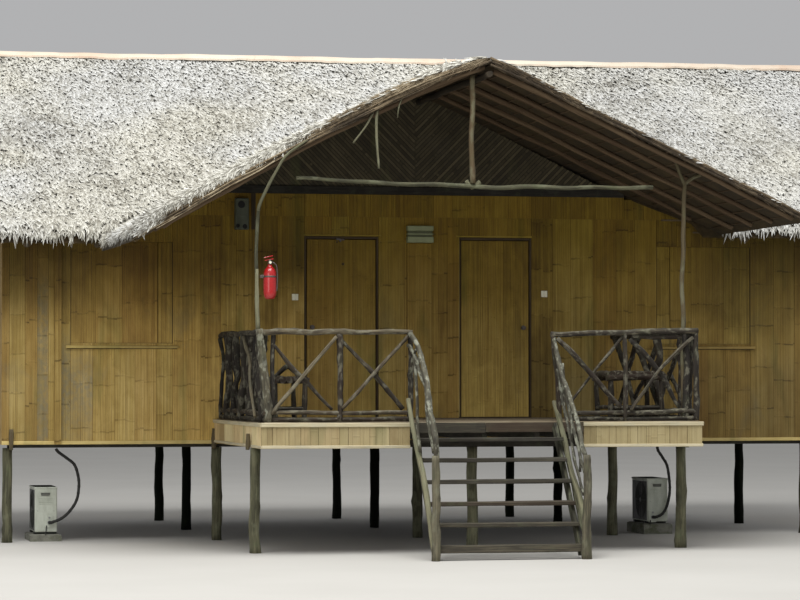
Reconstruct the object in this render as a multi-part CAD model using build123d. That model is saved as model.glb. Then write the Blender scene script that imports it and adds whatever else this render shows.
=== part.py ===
from build123d import *
import math
import os

os.makedirs("parts", exist_ok=True)

# Stilt house with two doors, a central stair, a porch and thatched roofs.
# Millimetres, +Z up, ground at z = 0. X runs along the front, Y into the house.
# Raw coordinates have the outer face of the front wall at Y = 0; every solid is
# then moved by -YC so that the origin is the bottom centre of the whole house.

# ---------------- driving dimensions ----------------
BAY = 2250.0            # post spacing along the front
ROW_B = 90.0            # post row under the front wall
ROW_C = 2400.0          # post row under the ridge
ROW_D = 4710.0          # post row under the back wall
ROW_A = -2450.0         # post row under the porch
POST_R = 55.0
END_X = 4530.0          # end post columns

FLOOR = 1330.0          # top of both floors
FLOOR_T = 40.0
JOIST_TOP = 1288.0
JOIST_BOT = 1140.0
BEAR_BOT = 1020.0       # underside of the house bearers
PORCH_BEAR_BOT = 1064.0

HALF = 4600.0           # half length of the walls
DEPTH = 4800.0          # outer depth of the house
WALL = 60.0             # wall thickness
WALL_BOT = 1055.0
WALL_TOP = 3550.0
BAND_TOP = 3760.0       # top of the wall band under the porch roof

DOOR_IN = 486.0         # inner edge of a door leaf from the centre
DOOR_OUT = 1262.0       # outer edge of a door leaf
DOOR_BOT = 1338.0
DOOR_TOP = 3297.0
LEAF_Y0, LEAF_Y1 = 15.0, 50.0
GAP = 8.0               # leaf to jamb
JAMB = 20.0
HINGE_X, HINGE_Y = 482.0, 62.0
HINGE_R = 7.0

WIN_OUT, WIN_IN = 3860.0, 2750.0
WIN_BOT, WIN_TOP = 2150.0, 3250.0

PORCH_F = -3060.0       # front face of the porch
PORCH_X = 2290.0        # half width of the porch
SKIRT_BOT, SKIRT_TOP = 1066.0, 1326.0
RAIL_Y = -2995.0        # centre line of the front railings
RAIL_TOP = 2230.0
RAIL_LOW = 1420.0

STAIR_L, STAIR_R = -770.0, 735.0     # newels and handrails
NEWEL_Y = -4200.0
NEWEL_R = 50.0

# main roof: underside plane z = EAVE_Z + M_ROOF * (Y - EAVE_Y), front slope
EAVE_Y = -700.0
EAVE_RIGHT = -500.0     # the front eave right of the porch roof is cut shorter
EAVE_Z = 3200.0
RIDGE_Y = 2400.0
RIDGE_BOT = 5260.0
M_ROOF = (RIDGE_BOT - EAVE_Z) / (RIDGE_Y - EAVE_Y)
T_ROOF = 220.0          # vertical thickness of the thatch
VERGE_X = 5390.0

# porch roof: top plane z = PEAK - M_PORCH * |X|
PEAK = 5090.0
M_PORCH = 0.49
T_PORCH = 140.0
PORCH_EAVE_X = 3600.0
PORCH_EAVE_RIGHT = 3350.0
RAKE_Y = -3280.0

Y_MIN = NEWEL_Y - NEWEL_R
Y_MAX = 2 * RIDGE_Y - EAVE_Y
YC = (Y_MIN + Y_MAX) / 2


# ---------------- helpers ----------------
def box(x0, x1, y0, y1, z0, z1):
    if x0 > x1:
        x0, x1 = x1, x0
    return Pos((x0 + x1) / 2, (y0 + y1) / 2 - YC, (z0 + z1) / 2) * Box(x1 - x0, y1 - y0, z1 - z0)


def prism(points, vec):
    """Extrude a planar polygon of raw 3-D points along vec."""
    pts = [Vector(p[0], p[1] - YC, p[2]) for p in points]
    face = Face(Wire.make_polygon(pts, close=True))
    v = Vector(*vec)
    return extrude(face, amount=v.length, dir=v.normalized())


def pole(p, q, r, n=8):
    """A pole of n sides between two raw points."""
    a, b = Vector(*p), Vector(*q)
    d = b - a
    ax = d.normalized()
    ref = Vector(0, 0, 1) if abs(ax.Z) < 0.9 else Vector(1, 0, 0)
    u = ax.cross(ref).normalized()
    w = ax.cross(u)
    pts = []
    for k in range(n):
        t = 2 * math.pi * (k + 0.5) / n
        v = a + u * (r * math.cos(t)) + w * (r * math.sin(t))
        pts.append((v.X, v.Y, v.Z))
    return prism(pts, (d.X, d.Y, d.Z))


def rod(p, q, r):
    """A round cylinder between two raw points."""
    a, b = Vector(p[0], p[1] - YC, p[2]), Vector(q[0], q[1] - YC, q[2])
    d = b - a
    return Solid.make_cylinder(r, d.length, Plane(origin=a, z_dir=d.normalized()))


def save(name, *items):
    solids = []
    for it in items:
        solids.extend(it.solids())
    shape = solids[0] if len(solids) == 1 else Compound(solids)
    export_step(shape, "parts/" + name + ".step")


def both(f):
    """The same piece on the left (-1) and on the right (+1)."""
    return [f(-1), f(1)]


def z_main(y):
    """Underside of the main roof above raw depth y."""
    return RIDGE_BOT - M_ROOF * abs(y - RIDGE_Y)


def valley_y(x):
    """Depth of the valley between the porch roof and the main roof."""
    return (PEAK - M_PORCH * abs(x) - EAVE_Z - T_ROOF) / M_ROOF + EAVE_Y


# ---------------- stilts and floor frame ----------------
cols = [-END_X, -BAY, 0.0, BAY, END_X]
save("house_posts", *[rod((x, y, 0), (x, y, BEAR_BOT), POST_R)
                      for y in (ROW_B, ROW_C, ROW_D) for x in cols])
save("porch_posts", *[rod((x, ROW_A, 0), (x, ROW_A, PORCH_BEAR_BOT), POST_R)
                      for x in (-BAY, 10.0, BAY)])
save("floor_bearers",
     box(-2250, 2250, ROW_A - 40, ROW_A + 40, PORCH_BEAR_BOT, JOIST_BOT - 1),
     box(-END_X, END_X, 65, 145, BEAR_BOT, JOIST_BOT - 1),
     box(-END_X, END_X, ROW_C - 40, ROW_C + 40, BEAR_BOT, JOIST_BOT - 1),
     box(-END_X, END_X, DEPTH - 145, DEPTH - 65, BEAR_BOT, JOIST_BOT - 1))
joists = [box(-4480 + 560 * k - 25, -4480 + 560 * k + 25, 65, DEPTH - 65, JOIST_BOT, JOIST_TOP)
          for k in range(17)]
joists += [box(-2200 + 550 * k - 25, -2200 + 550 * k + 25, -3020, -10, JOIST_BOT, JOIST_TOP)
           for k in range(9)]
save("floor_joists", *joists)
save("house_floor", box(-HALF + 65, HALF - 65, WALL + 2, DEPTH - WALL - 2, FLOOR - FLOOR_T, FLOOR))
save("porch_floor", box(-2260, 2260, -3028, -2, FLOOR - FLOOR_T, FLOOR))
save("porch_skirts",
     box(-PORCH_X, -780, PORCH_F, PORCH_F + 30, SKIRT_BOT, SKIRT_TOP),
     box(1030, PORCH_X, PORCH_F, PORCH_F + 30, SKIRT_BOT, SKIRT_TOP),
     box(-PORCH_X, -PORCH_X + 28, PORCH_F + 31, -2, SKIRT_BOT, SKIRT_TOP),
     box(PORCH_X - 28, PORCH_X, PORCH_F + 31, -2, SKIRT_BOT, SKIRT_TOP),
     box(-778, 0, PORCH_F, PORCH_F + 30, 1220, SKIRT_TOP),
     box(4, 1028, PORCH_F, PORCH_F + 30, 1220, SKIRT_TOP))

# ---------------- walls ----------------
jo = DOOR_OUT + GAP + JAMB      # outer side of the outer jamb
ji = DOOR_IN - GAP - JAMB       # inner side of the inner jamb


def front_side(s):
    wall = box(s * (jo + 1), s * HALF, 0, WALL, WALL_BOT, WALL_TOP)
    hole = box(s * WIN_IN, s * WIN_OUT, -10, WALL + 10, WIN_BOT, WIN_TOP)
    return wall - hole


save("front_wall_left", front_side(-1))
save("front_wall_right", front_side(1))
save("front_wall_middle", box(-(ji - 1), ji - 1, 0, WALL, WALL_BOT, WALL_TOP))
panels = both(lambda s: box(s * ji, s * jo, 0, WALL, WALL_BOT, FLOOR - 2))
panels += both(lambda s: box(s * ji, s * jo, 0, WALL, 3334, WALL_TOP))
panels.append(box(-2370, 2370, 0, WALL, WALL_TOP + 1, BAND_TOP))
panels += both(lambda s: box(s * 2371, s * 2855, 0, WALL, WALL_TOP + 1, z_main(0) - 10))
save("front_wall_panels", *panels)
peak_in = PEAK - T_PORCH - 5
save("gable_lattice", prism([(-2370, 0, BAND_TOP + 2), (2370, 0, BAND_TOP + 2),
                             (2370, 0, peak_in - M_PORCH * 2370), (0, 0, peak_in),
                             (-2370, 0, peak_in - M_PORCH * 2370)], (0, 30, 0)))


def end_wall(s):
    x0 = s * (HALF - WALL)
    return prism([(x0, WALL + 1, WALL_BOT), (x0, DEPTH - WALL - 1, WALL_BOT),
                  (x0, DEPTH - WALL - 1, z_main(DEPTH - WALL) - 5), (x0, RIDGE_Y, RIDGE_BOT - 5),
                  (x0, WALL + 1, z_main(WALL) - 5)], (s * WALL, 0, 0))


save("left_end_wall", end_wall(-1))
save("right_end_wall", end_wall(1))
save("back_wall", box(-HALF, HALF, DEPTH - WALL, DEPTH, WALL_BOT, WALL_TOP))

shutters = both(lambda s: box(s * 2912, s * (WIN_OUT - 3), 8, 48, WIN_BOT + 3, WIN_TOP - 3))
shutters += both(lambda s: box(s * (WIN_IN + 3), s * 2908, 8, 48, WIN_BOT + 3, WIN_TOP - 3))
save("window_shutters", *shutters)
save("window_sills", *both(lambda s: box(s * 2690, s * 3910, -30, 0, 2090, 2125)))

# ---------------- doors ----------------
frames = []
for s in (-1, 1):
    frames.append(box(s * ji, s * (ji + JAMB), 0, 55, FLOOR, 3332))
    frames.append(box(s * jo, s * (jo - JAMB), 0, 55, FLOOR, 3332))
    frames.append(box(s * (ji + JAMB + 1), s * (jo - JAMB - 1), 0, 55, DOOR_TOP + GAP, 3332))
save("door_frames", *frames)


def leaf(s):
    return box(s * DOOR_IN, s * DOOR_OUT, LEAF_Y0, LEAF_Y1, DOOR_BOT, DOOR_TOP)


def door_fittings(s):
    out = []
    for z in (1550, 2320, 3060):
        plate = box(s * 480, s * 532, LEAF_Y1, LEAF_Y1 + 6, z - 45, z + 45)
        barrel = rod((s * HINGE_X, HINGE_Y, z - 45), (s * HINGE_X, HINGE_Y, z + 45), HINGE_R)
        out.append(plate + barrel)
    x = s * 1200
    for y0, d in ((LEAF_Y0, -1), (LEAF_Y1, 1)):
        stem = rod((x, y0, 2330), (x, y0 + d * 28, 2330), 9)
        knob = rod((x, y0 + d * 22, 2330), (x, y0 + d * 40, 2330), 21)
        rose = rod((x, y0, 2330), (x, y0 + d * 5, 2330), 26)
        out.append(stem + knob + rose)
    return out


save("left_door", leaf(-1))
save("right_door", leaf(1))
save("left_door_fittings", *door_fittings(-1))
save("right_door_fittings", *door_fittings(1))


# ---------------- railings ----------------
def front_railing(xa, xm, xb, xt, r):
    y = RAIL_Y
    post = pole((xa, y, FLOOR + 6), (xt, y, RAIL_TOP + 30), r)
    post += pole((xm, y, FLOOR + 1), (xm, y, RAIL_TOP - 10), 27)
    post += pole((xb, y, FLOOR + 1), (xb, y, RAIL_TOP + 10), 30)
    post += pole((xt, y, RAIL_TOP), (xb, y, RAIL_TOP), 27)
    post += pole((xa, y, RAIL_LOW), (xb, y, RAIL_LOW), 25)
    for x0, x1 in ((xa, xm), (xm, xb)):
        post += pole((x0, y - 12, RAIL_LOW), (x1, y - 12, RAIL_TOP), 20, 6)
        post += pole((x0, y + 12, RAIL_TOP), (x1, y + 12, RAIL_LOW), 20, 6)
    return post


def side_railing(x):
    y0, y1 = -2900.0, -60.0
    rail = pole((x, y0, RAIL_TOP), (x, y1, RAIL_TOP), 27)
    rail += pole((x, y0, RAIL_LOW), (x, y1, RAIL_LOW), 25)
    n = 8
    for k in range(n):
        y = y0 + 35 + (y1 - y0 - 70) * k / (n - 1)
        rail += pole((x, y, FLOOR + 1), (x, y, RAIL_TOP + 20), 24)
    return rail


save("railing_front_left", front_railing(-2225, -1500, -775, -2290, 44))
save("railing_front_right", front_railing(2225, 1470, 750, 2235, 34))
save("railing_side_left", side_railing(-2225))
save("railing_side_right", side_railing(2225))

# ---------------- stair ----------------
SY0, SZ0, SY1, SZ1 = -3125.0, 1500.0, -4115.0, 100.0
save("stair_stringers",
     pole((STAIR_L - 30, SY0, SZ0), (STAIR_L - 30, SY1, SZ1), 45),
     pole((STAIR_R + 30, SY0, SZ0), (STAIR_R + 30, SY1, SZ1), 45))
treads = []
for z in (1180.0, 980.0, 770.0, 560.0, 355.0, 150.0):
    y = SY0 + (SZ0 - z) / (SZ0 - SZ1) * (SY1 - SY0)
    t = 45.0 if z > 200 else 80.0
    treads.append(box(STAIR_L + 17, STAIR_R - 17, y - 60, y + 70, z - t, z))
save("stair_treads", *treads)
rails = []
for x in (STAIR_L, STAIR_R):
    rails.append(rod((x, NEWEL_Y, 0), (x, NEWEL_Y, 1000), NEWEL_R))
    rails.append(pole((x, -3085, 2185), (x, NEWEL_Y + 58, 1020), 30))
save("stair_handrails", *rails)

# ---------------- porch roof frame ----------------
z_under = PEAK - T_PORCH
off = 32.0 / math.cos(math.atan(M_PORCH))
frame_poles = [
    pole((-2315, -2980, RAIL_TOP + 34), (-2315, -2980, 3550), 22),
    pole((2130, -2930, FLOOR + 1), (2130, -2930, 3800), 24),
    pole((-2310, -3020, 3590), (-2140, -3140, 3800), 18),
    pole((2100, -2960, 3825), (1990, -3060, 3925), 16),
    pole((-2080, -3100, 3720), (1750, -3100, 3720), 32),
    pole((-140, -3100, 3755), (-140, -3100, 4850), 30),
]
save("porch_roof_frame", *frame_poles)
raf = []
for y in (-3220.0, -2570.0, -1920.0, -1270.0, -620.0):
    for s in (-1, 1):
        xe = (3450.0 if s < 0 else 3250.0) if y < -1000 else (3120.0 if s < 0 else 2950.0)
        raf.append(pole((s * 60, y, z_under - off - M_PORCH * 60),
                        (s * xe, y, z_under - off - M_PORCH * xe), 30))
raf.append(pole((0, -3270, 4830), (0, -5, 4830), 33))
save("porch_roof_poles", *raf)

# ---------------- main roof frame ----------------
offm = 37.0 / math.cos(math.atan(M_ROOF))
mr = []
for x in (-5150, -4400, -3650, -2900, -2150, -1400, -650, 650, 1400, 2150, 2900, 3650, 4400, 5150):
    ys = (EAVE_Y if x < 0 else EAVE_RIGHT) + 40 if abs(x) > 3500 else valley_y(x) + 250
    mr.append(pole((x, ys, z_main(ys) - offm), (x, 2355, z_main(2355) - offm), 35))
    ye = DEPTH - EAVE_Y - 40
    mr.append(pole((x, 2445, z_main(2445) - offm), (x, ye, z_main(ye) - offm), 35))
mr.append(pole((-4538, RIDGE_Y, 5105), (4538, RIDGE_Y, 5105), 50))
save("main_roof_poles", *mr)


# ---------------- thatch ----------------
def slab_yz(pts, x0, x1):
    return prism([(x0, y, z) for y, z in pts], (x1 - x0, 0, 0))


def plan(pts):
    return prism([(x, y, 2000) for x, y in pts], (0, 0, 5000))


def eave_meet(ye):
    """Half span at which the valley reaches the main eave at depth ye."""
    return (ye - valley_y(0)) / (valley_y(1000) - valley_y(0)) * 1000


def main_front(s):
    ye = EAVE_Y if s < 0 else EAVE_RIGHT
    prof = slab_yz([(ye, z_main(ye)), (RIDGE_Y - 1, z_main(RIDGE_Y - 1)),
                    (RIDGE_Y - 1, z_main(RIDGE_Y - 1) + T_ROOF), (ye, z_main(ye) + T_ROOF)],
                   s * VERGE_X, s * 1.0)
    xv = eave_meet(ye)
    cut = plan([(s * (VERGE_X + 50), ye - 50), (s * xv, ye - 50), (s * xv, ye),
                (0, valley_y(0)), (0, RIDGE_Y + 50), (s * (VERGE_X + 50), RIDGE_Y + 50)])
    return prof & cut


save("main_roof_front", main_front(-1), main_front(1))
ye = 2 * RIDGE_Y - EAVE_Y
save("main_roof_back", slab_yz([(RIDGE_Y + 1, z_main(RIDGE_Y + 1)), (ye, EAVE_Z), (ye, EAVE_Z + T_ROOF),
                                (RIDGE_Y + 1, z_main(RIDGE_Y + 1) + T_ROOF)], -VERGE_X, VERGE_X))


def porch_slope(s):
    x0, x1 = s * 1.0, s * PORCH_EAVE_X if s < 0 else s * PORCH_EAVE_RIGHT
    ye = EAVE_Y if s < 0 else EAVE_RIGHT
    xv = eave_meet(ye)
    zt = [PEAK - M_PORCH * abs(x) for x in (x0, x1)]
    prof = prism([(x0, RAKE_Y, zt[0] - T_PORCH), (x1, RAKE_Y, zt[1] - T_PORCH),
                  (x1, RAKE_Y, zt[1]), (x0, RAKE_Y, zt[0])], (0, 5400, 0))
    cut = plan([(0, RAKE_Y - 50), (s * (PORCH_EAVE_X + 50), RAKE_Y - 50),
                (s * (PORCH_EAVE_X + 50), ye - 2), (s * xv, ye - 2), (0, valley_y(0) - 2)])
    return prof & cut


save("porch_roof_thatch", porch_slope(-1), porch_slope(1))
caps = []
for s in (-1, 1):
    y0, y1 = RIDGE_Y + s * 1.0, RIDGE_Y + s * 130.0
    zt = RIDGE_BOT + T_ROOF + 2
    caps.append(slab_yz([(y0, zt - M_ROOF * 1), (y1, zt - M_ROOF * 130), (y1, zt - M_ROOF * 130 + 45),
                         (y0, zt + 78)], -VERGE_X, VERGE_X))
save("ridge_cap", *caps)

# ---------------- fittings ----------------
save("cover_strips",
     box(-4037, -3961, -40, 0, 1060, 3450),
     box(-137, 143, -22, 0, FLOOR + 5, 3262))
save("emergency_lamp", box(-144, 151, -90, 0, 3268, 3455))
save("wall_box", box(-2071, -1920, -95, 0, 3395, 3740))
save("wall_switches", box(-1430, -1360, -20, 0, 2625, 2695), box(1402, 1472, -20, 0, 2674, 2744))
ext = rod((-2195, -2980, 2560), (-2195, -2980, 2880), 64)
ext += rod((-2195, -2980, 2880), (-2195, -2980, 2950), 20)
ext += box(-2255, -2170, -2992, -2968, 2940, 3000)
ext += box(-2292, -2250, -3000, -2960, 2760, 2800)
save("fire_extinguisher", ext)

AC_L, AC_R = -4100.0, 2830.0
save("ac_units",
     box(AC_L - 125, AC_L + 125, 250, 850, 80, 590),
     box(AC_R - 125, AC_R + 125, 250, 850, 120, 630))
save("ac_stands",
     box(AC_L - 170, AC_L + 170, 210, 890, 0, 79),
     box(AC_R - 170, AC_R + 170, 210, 890, 0, 119))


def pipe(points, radii):
    pts = [Vector(p[0], p[1] - YC, p[2]) for p in points]
    path = FilletPolyline(*pts, radius=radii)
    start = Plane(origin=pts[0], z_dir=(pts[1] - pts[0]).normalized())
    return sweep(start * Circle(16), path=path)


save("ac_pipes",
     pipe([(-4005, 105, 1008), (-3978, 110, 975), (-3800, 160, 860), (-3745, 195, 640),
           (-3775, 205, 440), (-3900, 212, 270), (-4060, 215, 205), (-4060, 249, 205)],
          [30, 120, 200, 150, 80, 25]),
     pipe([(2785, 105, 1014), (2795, 105, 950), (2925, 160, 780), (2960, 185, 480),
           (2900, 200, 225), (2775, 205, 192), (2775, 249, 192)],
          [40, 120, 150, 60, 25]))


# ---------------- rustic seats on the porch ----------------
def seat(x0, x1, y0, y1, h, t):
    s = box(x0, x1, y0, y1, h - t, h)
    for x in (x0 + 35, x1 - 35):
        for y in (y0 + 35, y1 - 35):
            s += pole((x, y, FLOOR + 1), (x, y, h - 5), 27)
    for y in (y0 + 35, y1 - 35):
        s += pole((x0 + 35, y, FLOOR + 130), (x1 - 35, y, FLOOR + 130), 20)
    for x in (x0 + 35, x1 - 35):
        s += pole((x, y0 + 35, FLOOR + 130), (x, y1 - 35, FLOOR + 130), 20)
    return s


left_seat = seat(-2080, -1700, -2450, -1750, 1790, 45)
# bent branch that stands on the left seat as an arm rest
left_seat += pole((-2000, -2100, 1780), (-1850, -2100, 1905), 26)
left_seat += pole((-1850, -2100, 1905), (-1730, -2100, 1785), 28)
save("porch_seats", left_seat, seat(1500, 2120, -2350, -1750, 1845, 90))
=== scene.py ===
import math

import bpy
import numpy as np
from mathutils import Matrix, Vector


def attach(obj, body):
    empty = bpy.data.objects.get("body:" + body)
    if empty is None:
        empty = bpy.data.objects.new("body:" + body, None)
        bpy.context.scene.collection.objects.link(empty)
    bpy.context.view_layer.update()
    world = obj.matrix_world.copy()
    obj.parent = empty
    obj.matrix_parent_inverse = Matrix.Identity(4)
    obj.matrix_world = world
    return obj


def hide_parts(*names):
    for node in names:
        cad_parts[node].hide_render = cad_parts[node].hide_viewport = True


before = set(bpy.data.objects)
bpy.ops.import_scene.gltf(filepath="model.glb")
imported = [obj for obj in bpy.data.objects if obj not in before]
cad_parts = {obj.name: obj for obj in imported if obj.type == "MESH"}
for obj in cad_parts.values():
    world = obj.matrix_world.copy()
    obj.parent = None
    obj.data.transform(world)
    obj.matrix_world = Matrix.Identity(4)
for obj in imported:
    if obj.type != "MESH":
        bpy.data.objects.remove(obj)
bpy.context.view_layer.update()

# Lengths are metres. Raw coordinates have the front wall's outer face at y = 0;
# Build.make() moves every mesh by -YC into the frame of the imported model.
YC = 0.625
TAU = 2 * math.pi

# main roof: underside plane, and porch roof: edge curves (half span, height)
RIDGE_Y, EAVE_Y, EAVE_Z, RIDGE_BOT, T_ROOF = 2.4, -0.7, 3.2, 5.26, 0.22
M_ROOF = (RIDGE_BOT - EAVE_Z) / (RIDGE_Y - EAVE_Y)
VERGE = 5.39
RAKE_Y = -3.28
EAVE = {-1: -0.70, 1: -0.50}            # the front eave left and right of the porch
PORCH_EAVE = {-1: 3.60, 1: 3.35}


def z_main(y):
    return RIDGE_BOT - M_ROOF * np.abs(np.asarray(y, float) - RIDGE_Y)


def valley_y(x):
    return (5.09 - 0.49 * np.abs(np.asarray(x, float)) - EAVE_Z - T_ROOF) / M_ROOF + EAVE_Y


# ------------------------------------------------------------------ meshes
class Build:
    """Collects closed shapes, then makes one mesh object of them."""

    def __init__(self):
        self.v, self.f, self.c, self.g = [], [], [], []
        self.n = 0

    def add(self, v, faces, tone=(0.5, 0.5, 0.0, 0.0), grain=None, mat=0, smooth=False):
        v = np.asarray(v, float).reshape(-1, 3)
        c = np.asarray(tone, float)
        c = np.tile(c, (len(v), 1)) if c.ndim == 1 else c.reshape(-1, 4)
        self.v.append(v)
        self.c.append(c)
        self.g.append(v if grain is None else np.asarray(grain, float).reshape(-1, 3))
        for f in faces:
            f = np.asarray(f, int)
            if len(f):
                self.f.append((f.reshape(-1, f.shape[-1]) + self.n, mat, smooth))
        self.n += len(v)

    def make(self, name, mats, body="house", replaces=()):
        v = np.concatenate(self.v)
        v[:, 1] -= YC
        v[:, 2] = np.maximum(v[:, 2], 0.0)
        loops = np.concatenate([f.ravel() for f, _, _ in self.f])
        size = np.concatenate([np.full(len(f), f.shape[1]) for f, _, _ in self.f])
        me = bpy.data.meshes.new(name)
        me.vertices.add(len(v))
        me.vertices.foreach_set("co", v.astype(np.float32).ravel())
        me.loops.add(len(loops))
        me.loops.foreach_set("vertex_index", loops.astype(np.int32))
        me.polygons.add(len(size))
        me.polygons.foreach_set("loop_start", (np.cumsum(size) - size).astype(np.int32))
        me.polygons.foreach_set("material_index", np.concatenate([np.full(len(f), m) for f, m, _ in self.f]).astype(np.int32))
        me.polygons.foreach_set("use_smooth", np.concatenate([np.full(len(f), s) for f, _, s in self.f]))
        me.update(calc_edges=True)
        col = me.color_attributes.new("tone", "FLOAT_COLOR", "POINT")
        col.data.foreach_set("color", np.concatenate(self.c).astype(np.float32).ravel())
        gr = me.attributes.new("grain", "FLOAT_VECTOR", "POINT")
        gr.data.foreach_set("vector", np.concatenate(self.g).astype(np.float32).ravel())
        for m in mats if isinstance(mats, (list, tuple)) else [mats]:
            me.materials.append(m)
        ob = bpy.data.objects.new(name, me)
        bpy.context.scene.collection.objects.link(ob)
        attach(ob, body)
        if replaces:
            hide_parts(*replaces)
        return ob


def lowpass(a, times, axis, wrap):
    for _ in range(times):
        if wrap:
            lo, hi = np.roll(a, 1, axis), np.roll(a, -1, axis)
        else:
            n = a.shape[axis]
            lo = np.take(a, np.maximum(np.arange(n) - 1, 0), axis)
            hi = np.take(a, np.minimum(np.arange(n) + 1, n - 1), axis)
        a = (lo + 2 * a + hi) / 4
    return a


def curve(pts, step):
    """Points along a smooth line through pts."""
    p = np.asarray(pts, float)
    if len(p) == 2:
        n = max(2, int(np.ceil(np.linalg.norm(p[1] - p[0]) / step)) + 1)
        return p[0] + (p[1] - p[0]) * np.linspace(0, 1, n)[:, None]
    q = np.vstack([2 * p[0] - p[1], p, 2 * p[-1] - p[-2]])
    out = []
    for i in range(1, len(q) - 2):
        n = max(2, int(np.linalg.norm(q[i + 1] - q[i]) / step))
        t = np.linspace(0, 1, n, endpoint=False)[:, None]
        a, b, c, d = q[i - 1], q[i], q[i + 1], q[i + 2]
        out.append(0.5 * (2 * b + (c - a) * t + (2 * a - 5 * b + 4 * c - d) * t**2 + (3 * b - a - 3 * c + d) * t**3))
    return np.vstack(out + [p[-1:]])


def loft(b, rings, tone=(0.5, 0.5, 0, 0), grain=None, mat=0, smooth=True, flip=False, caps=True):
    """A closed skin over rings that turn anticlockwise about the way they run."""
    rings = np.asarray(rings, float)
    R, S, _ = rings.shape
    i = np.arange(R - 1)[:, None] * S
    j = np.arange(S)[None, :]
    q = np.stack([i + j, i + (j + 1) % S, i + S + (j + 1) % S, i + S + j], -1).reshape(-1, 4)
    if flip:
        q = q[:, ::-1]
    k = b.n
    b.add(rings.reshape(-1, 3), [q], tone, grain, mat, smooth)
    if caps:
        a, z = np.arange(S)[::-1], np.arange(S) + (R - 1) * S
        if flip:
            a, z = a[::-1], z[::-1]
        b.f.append((np.array([a, z]) + k, mat, False))


def frames(P):
    T = np.gradient(P, axis=0)
    T /= np.linalg.norm(T, axis=1)[:, None]
    ref = np.array([0, 0, 1.0]) if abs(T[0, 2]) < 0.9 else np.array([1.0, 0, 0])
    u = np.cross(T[0], ref)
    U = np.empty_like(P)
    for i in range(len(P)):
        u = u - T[i] * (u @ T[i])
        u /= np.linalg.norm(u)
        U[i] = u
    return T, U, np.cross(T, U)


def pole(b, pts, r, seed, sides=10, step=0.06, rough=0.06, wob=0.006, oval=0.06, knots=2.0, tone=0.5, hue=0.5, mat=0, flat=None):
    """A rough round branch through pts. knots is how many a metre."""
    rng = np.random.default_rng(seed)
    P = curve(pts, step)
    n = len(P)
    L = np.concatenate([[0], np.cumsum(np.linalg.norm(np.diff(P, axis=0), axis=1))])
    if wob and n > 4:
        w = lowpass(rng.normal(size=(n, 3)), max(2, int(0.5 / step)), 0, False)
        w /= max(float(w.std()), 1e-6)
        P = P + w * wob * np.clip(np.minimum(L, L[-1] - L) / 0.2, 0, 1)[:, None]
    T, U, W = frames(P)
    rr = np.interp(L / L[-1], np.linspace(0, 1, len(r)), r) if np.ndim(r) else np.full(n, float(r))
    th = np.arange(sides) * TAU / sides
    nz = lowpass(lowpass(rng.normal(size=(n, sides)), 1, 1, True), 1, 0, False)
    nz /= max(float(nz.std()), 1e-6)
    rad = rr[:, None] * (1 + rough * nz + oval * np.cos(2 * (th[None] - rng.uniform(0, TAU)) + 2.5 * L[:, None]))
    dark = np.zeros((n, sides))
    for _ in range(rng.poisson(knots * L[-1])):
        s0, t0 = rng.uniform(0, L[-1]), rng.uniform(0, TAU)
        ang = (th - t0 + math.pi) % TAU - math.pi
        g = np.exp(-(((L - s0) / 0.03) ** 2))[:, None] * np.exp(-((ang / 0.55) ** 2))[None]
        rad += rr[:, None] * 0.32 * g
        dark += g
    if flat:
        rad[0] *= flat
        rad[-1] *= flat
    ring = P[:, None] + rad[..., None] * (np.cos(th)[None, :, None] * U[:, None] + np.sin(th)[None, :, None] * W[:, None])
    c = np.empty((n, sides, 4))
    c[..., 0] = np.clip(tone + 0.05 * nz, 0, 1)
    c[..., 1] = hue
    c[..., 2] = np.clip(dark, 0, 1)
    c[..., 3] = 0
    g = np.stack([np.tile(L[:, None], (1, sides)) + rng.uniform(0, 50), np.cos(th)[None] * rad + rng.uniform(0, 9), np.sin(th)[None] * rad], -1)
    loft(b, ring, c, g, mat, True)


def beam(b, p, q, w, h, seed, side=None, step=0.2, wob=0.0015, ch=0.004, tone=0.5, hue=0.5, mat=0):
    """A sawn timber from p to q, w wide and h high, with worn arrises."""
    rng = np.random.default_rng(seed)
    P = curve([p, q], step)
    n = len(P)
    T = P[-1] - P[0]
    T /= np.linalg.norm(T)
    up = np.array([0, 0, 1.0]) if abs(T[2]) < 0.9 else np.array([0, 1.0, 0])
    U = np.cross(T, up) if side is None else np.asarray(side, float)
    U = U - T * (U @ T)
    U /= np.linalg.norm(U)
    W = np.cross(T, U)
    a, c2 = w / 2, h / 2
    ch = min(ch, a * 0.5, c2 * 0.5)
    sec = np.array([(a, -c2 + ch), (a, c2 - ch), (a - ch, c2), (-a + ch, c2), (-a, c2 - ch), (-a, -c2 + ch), (-a + ch, -c2), (a - ch, -c2)])
    off = lowpass(rng.normal(size=(n, 8, 2)), 2, 0, False) * wob
    s = sec[None] + off
    ring = P[:, None] + s[..., :1] * U + s[..., 1:] * W
    L = np.linalg.norm(P - P[0], axis=1)
    g = np.stack([np.tile(L[:, None], (1, 8)) + rng.uniform(0, 50), s[..., 0] + rng.uniform(0, 9), s[..., 1]], -1)
    loft(b, ring, (tone, hue, 0, 0), g, mat, False)


def block(b, x0, x1, y0, y1, z0, z1, tone=0.5, hue=0.5, mat=0, seed=0):
    v = np.array([(x, y, z) for z in (z0, z1) for x, y in ((x0, y0), (x1, y0), (x1, y1), (x0, y1))], float)
    f = np.array([(3, 2, 1, 0), (4, 5, 6, 7), (0, 1, 5, 4), (1, 2, 6, 5), (2, 3, 7, 6), (3, 0, 4, 7)])
    b.add(v, [f], (tone, hue, 0, 0), v[:, [2, 0, 1]] + seed, mat)


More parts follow.
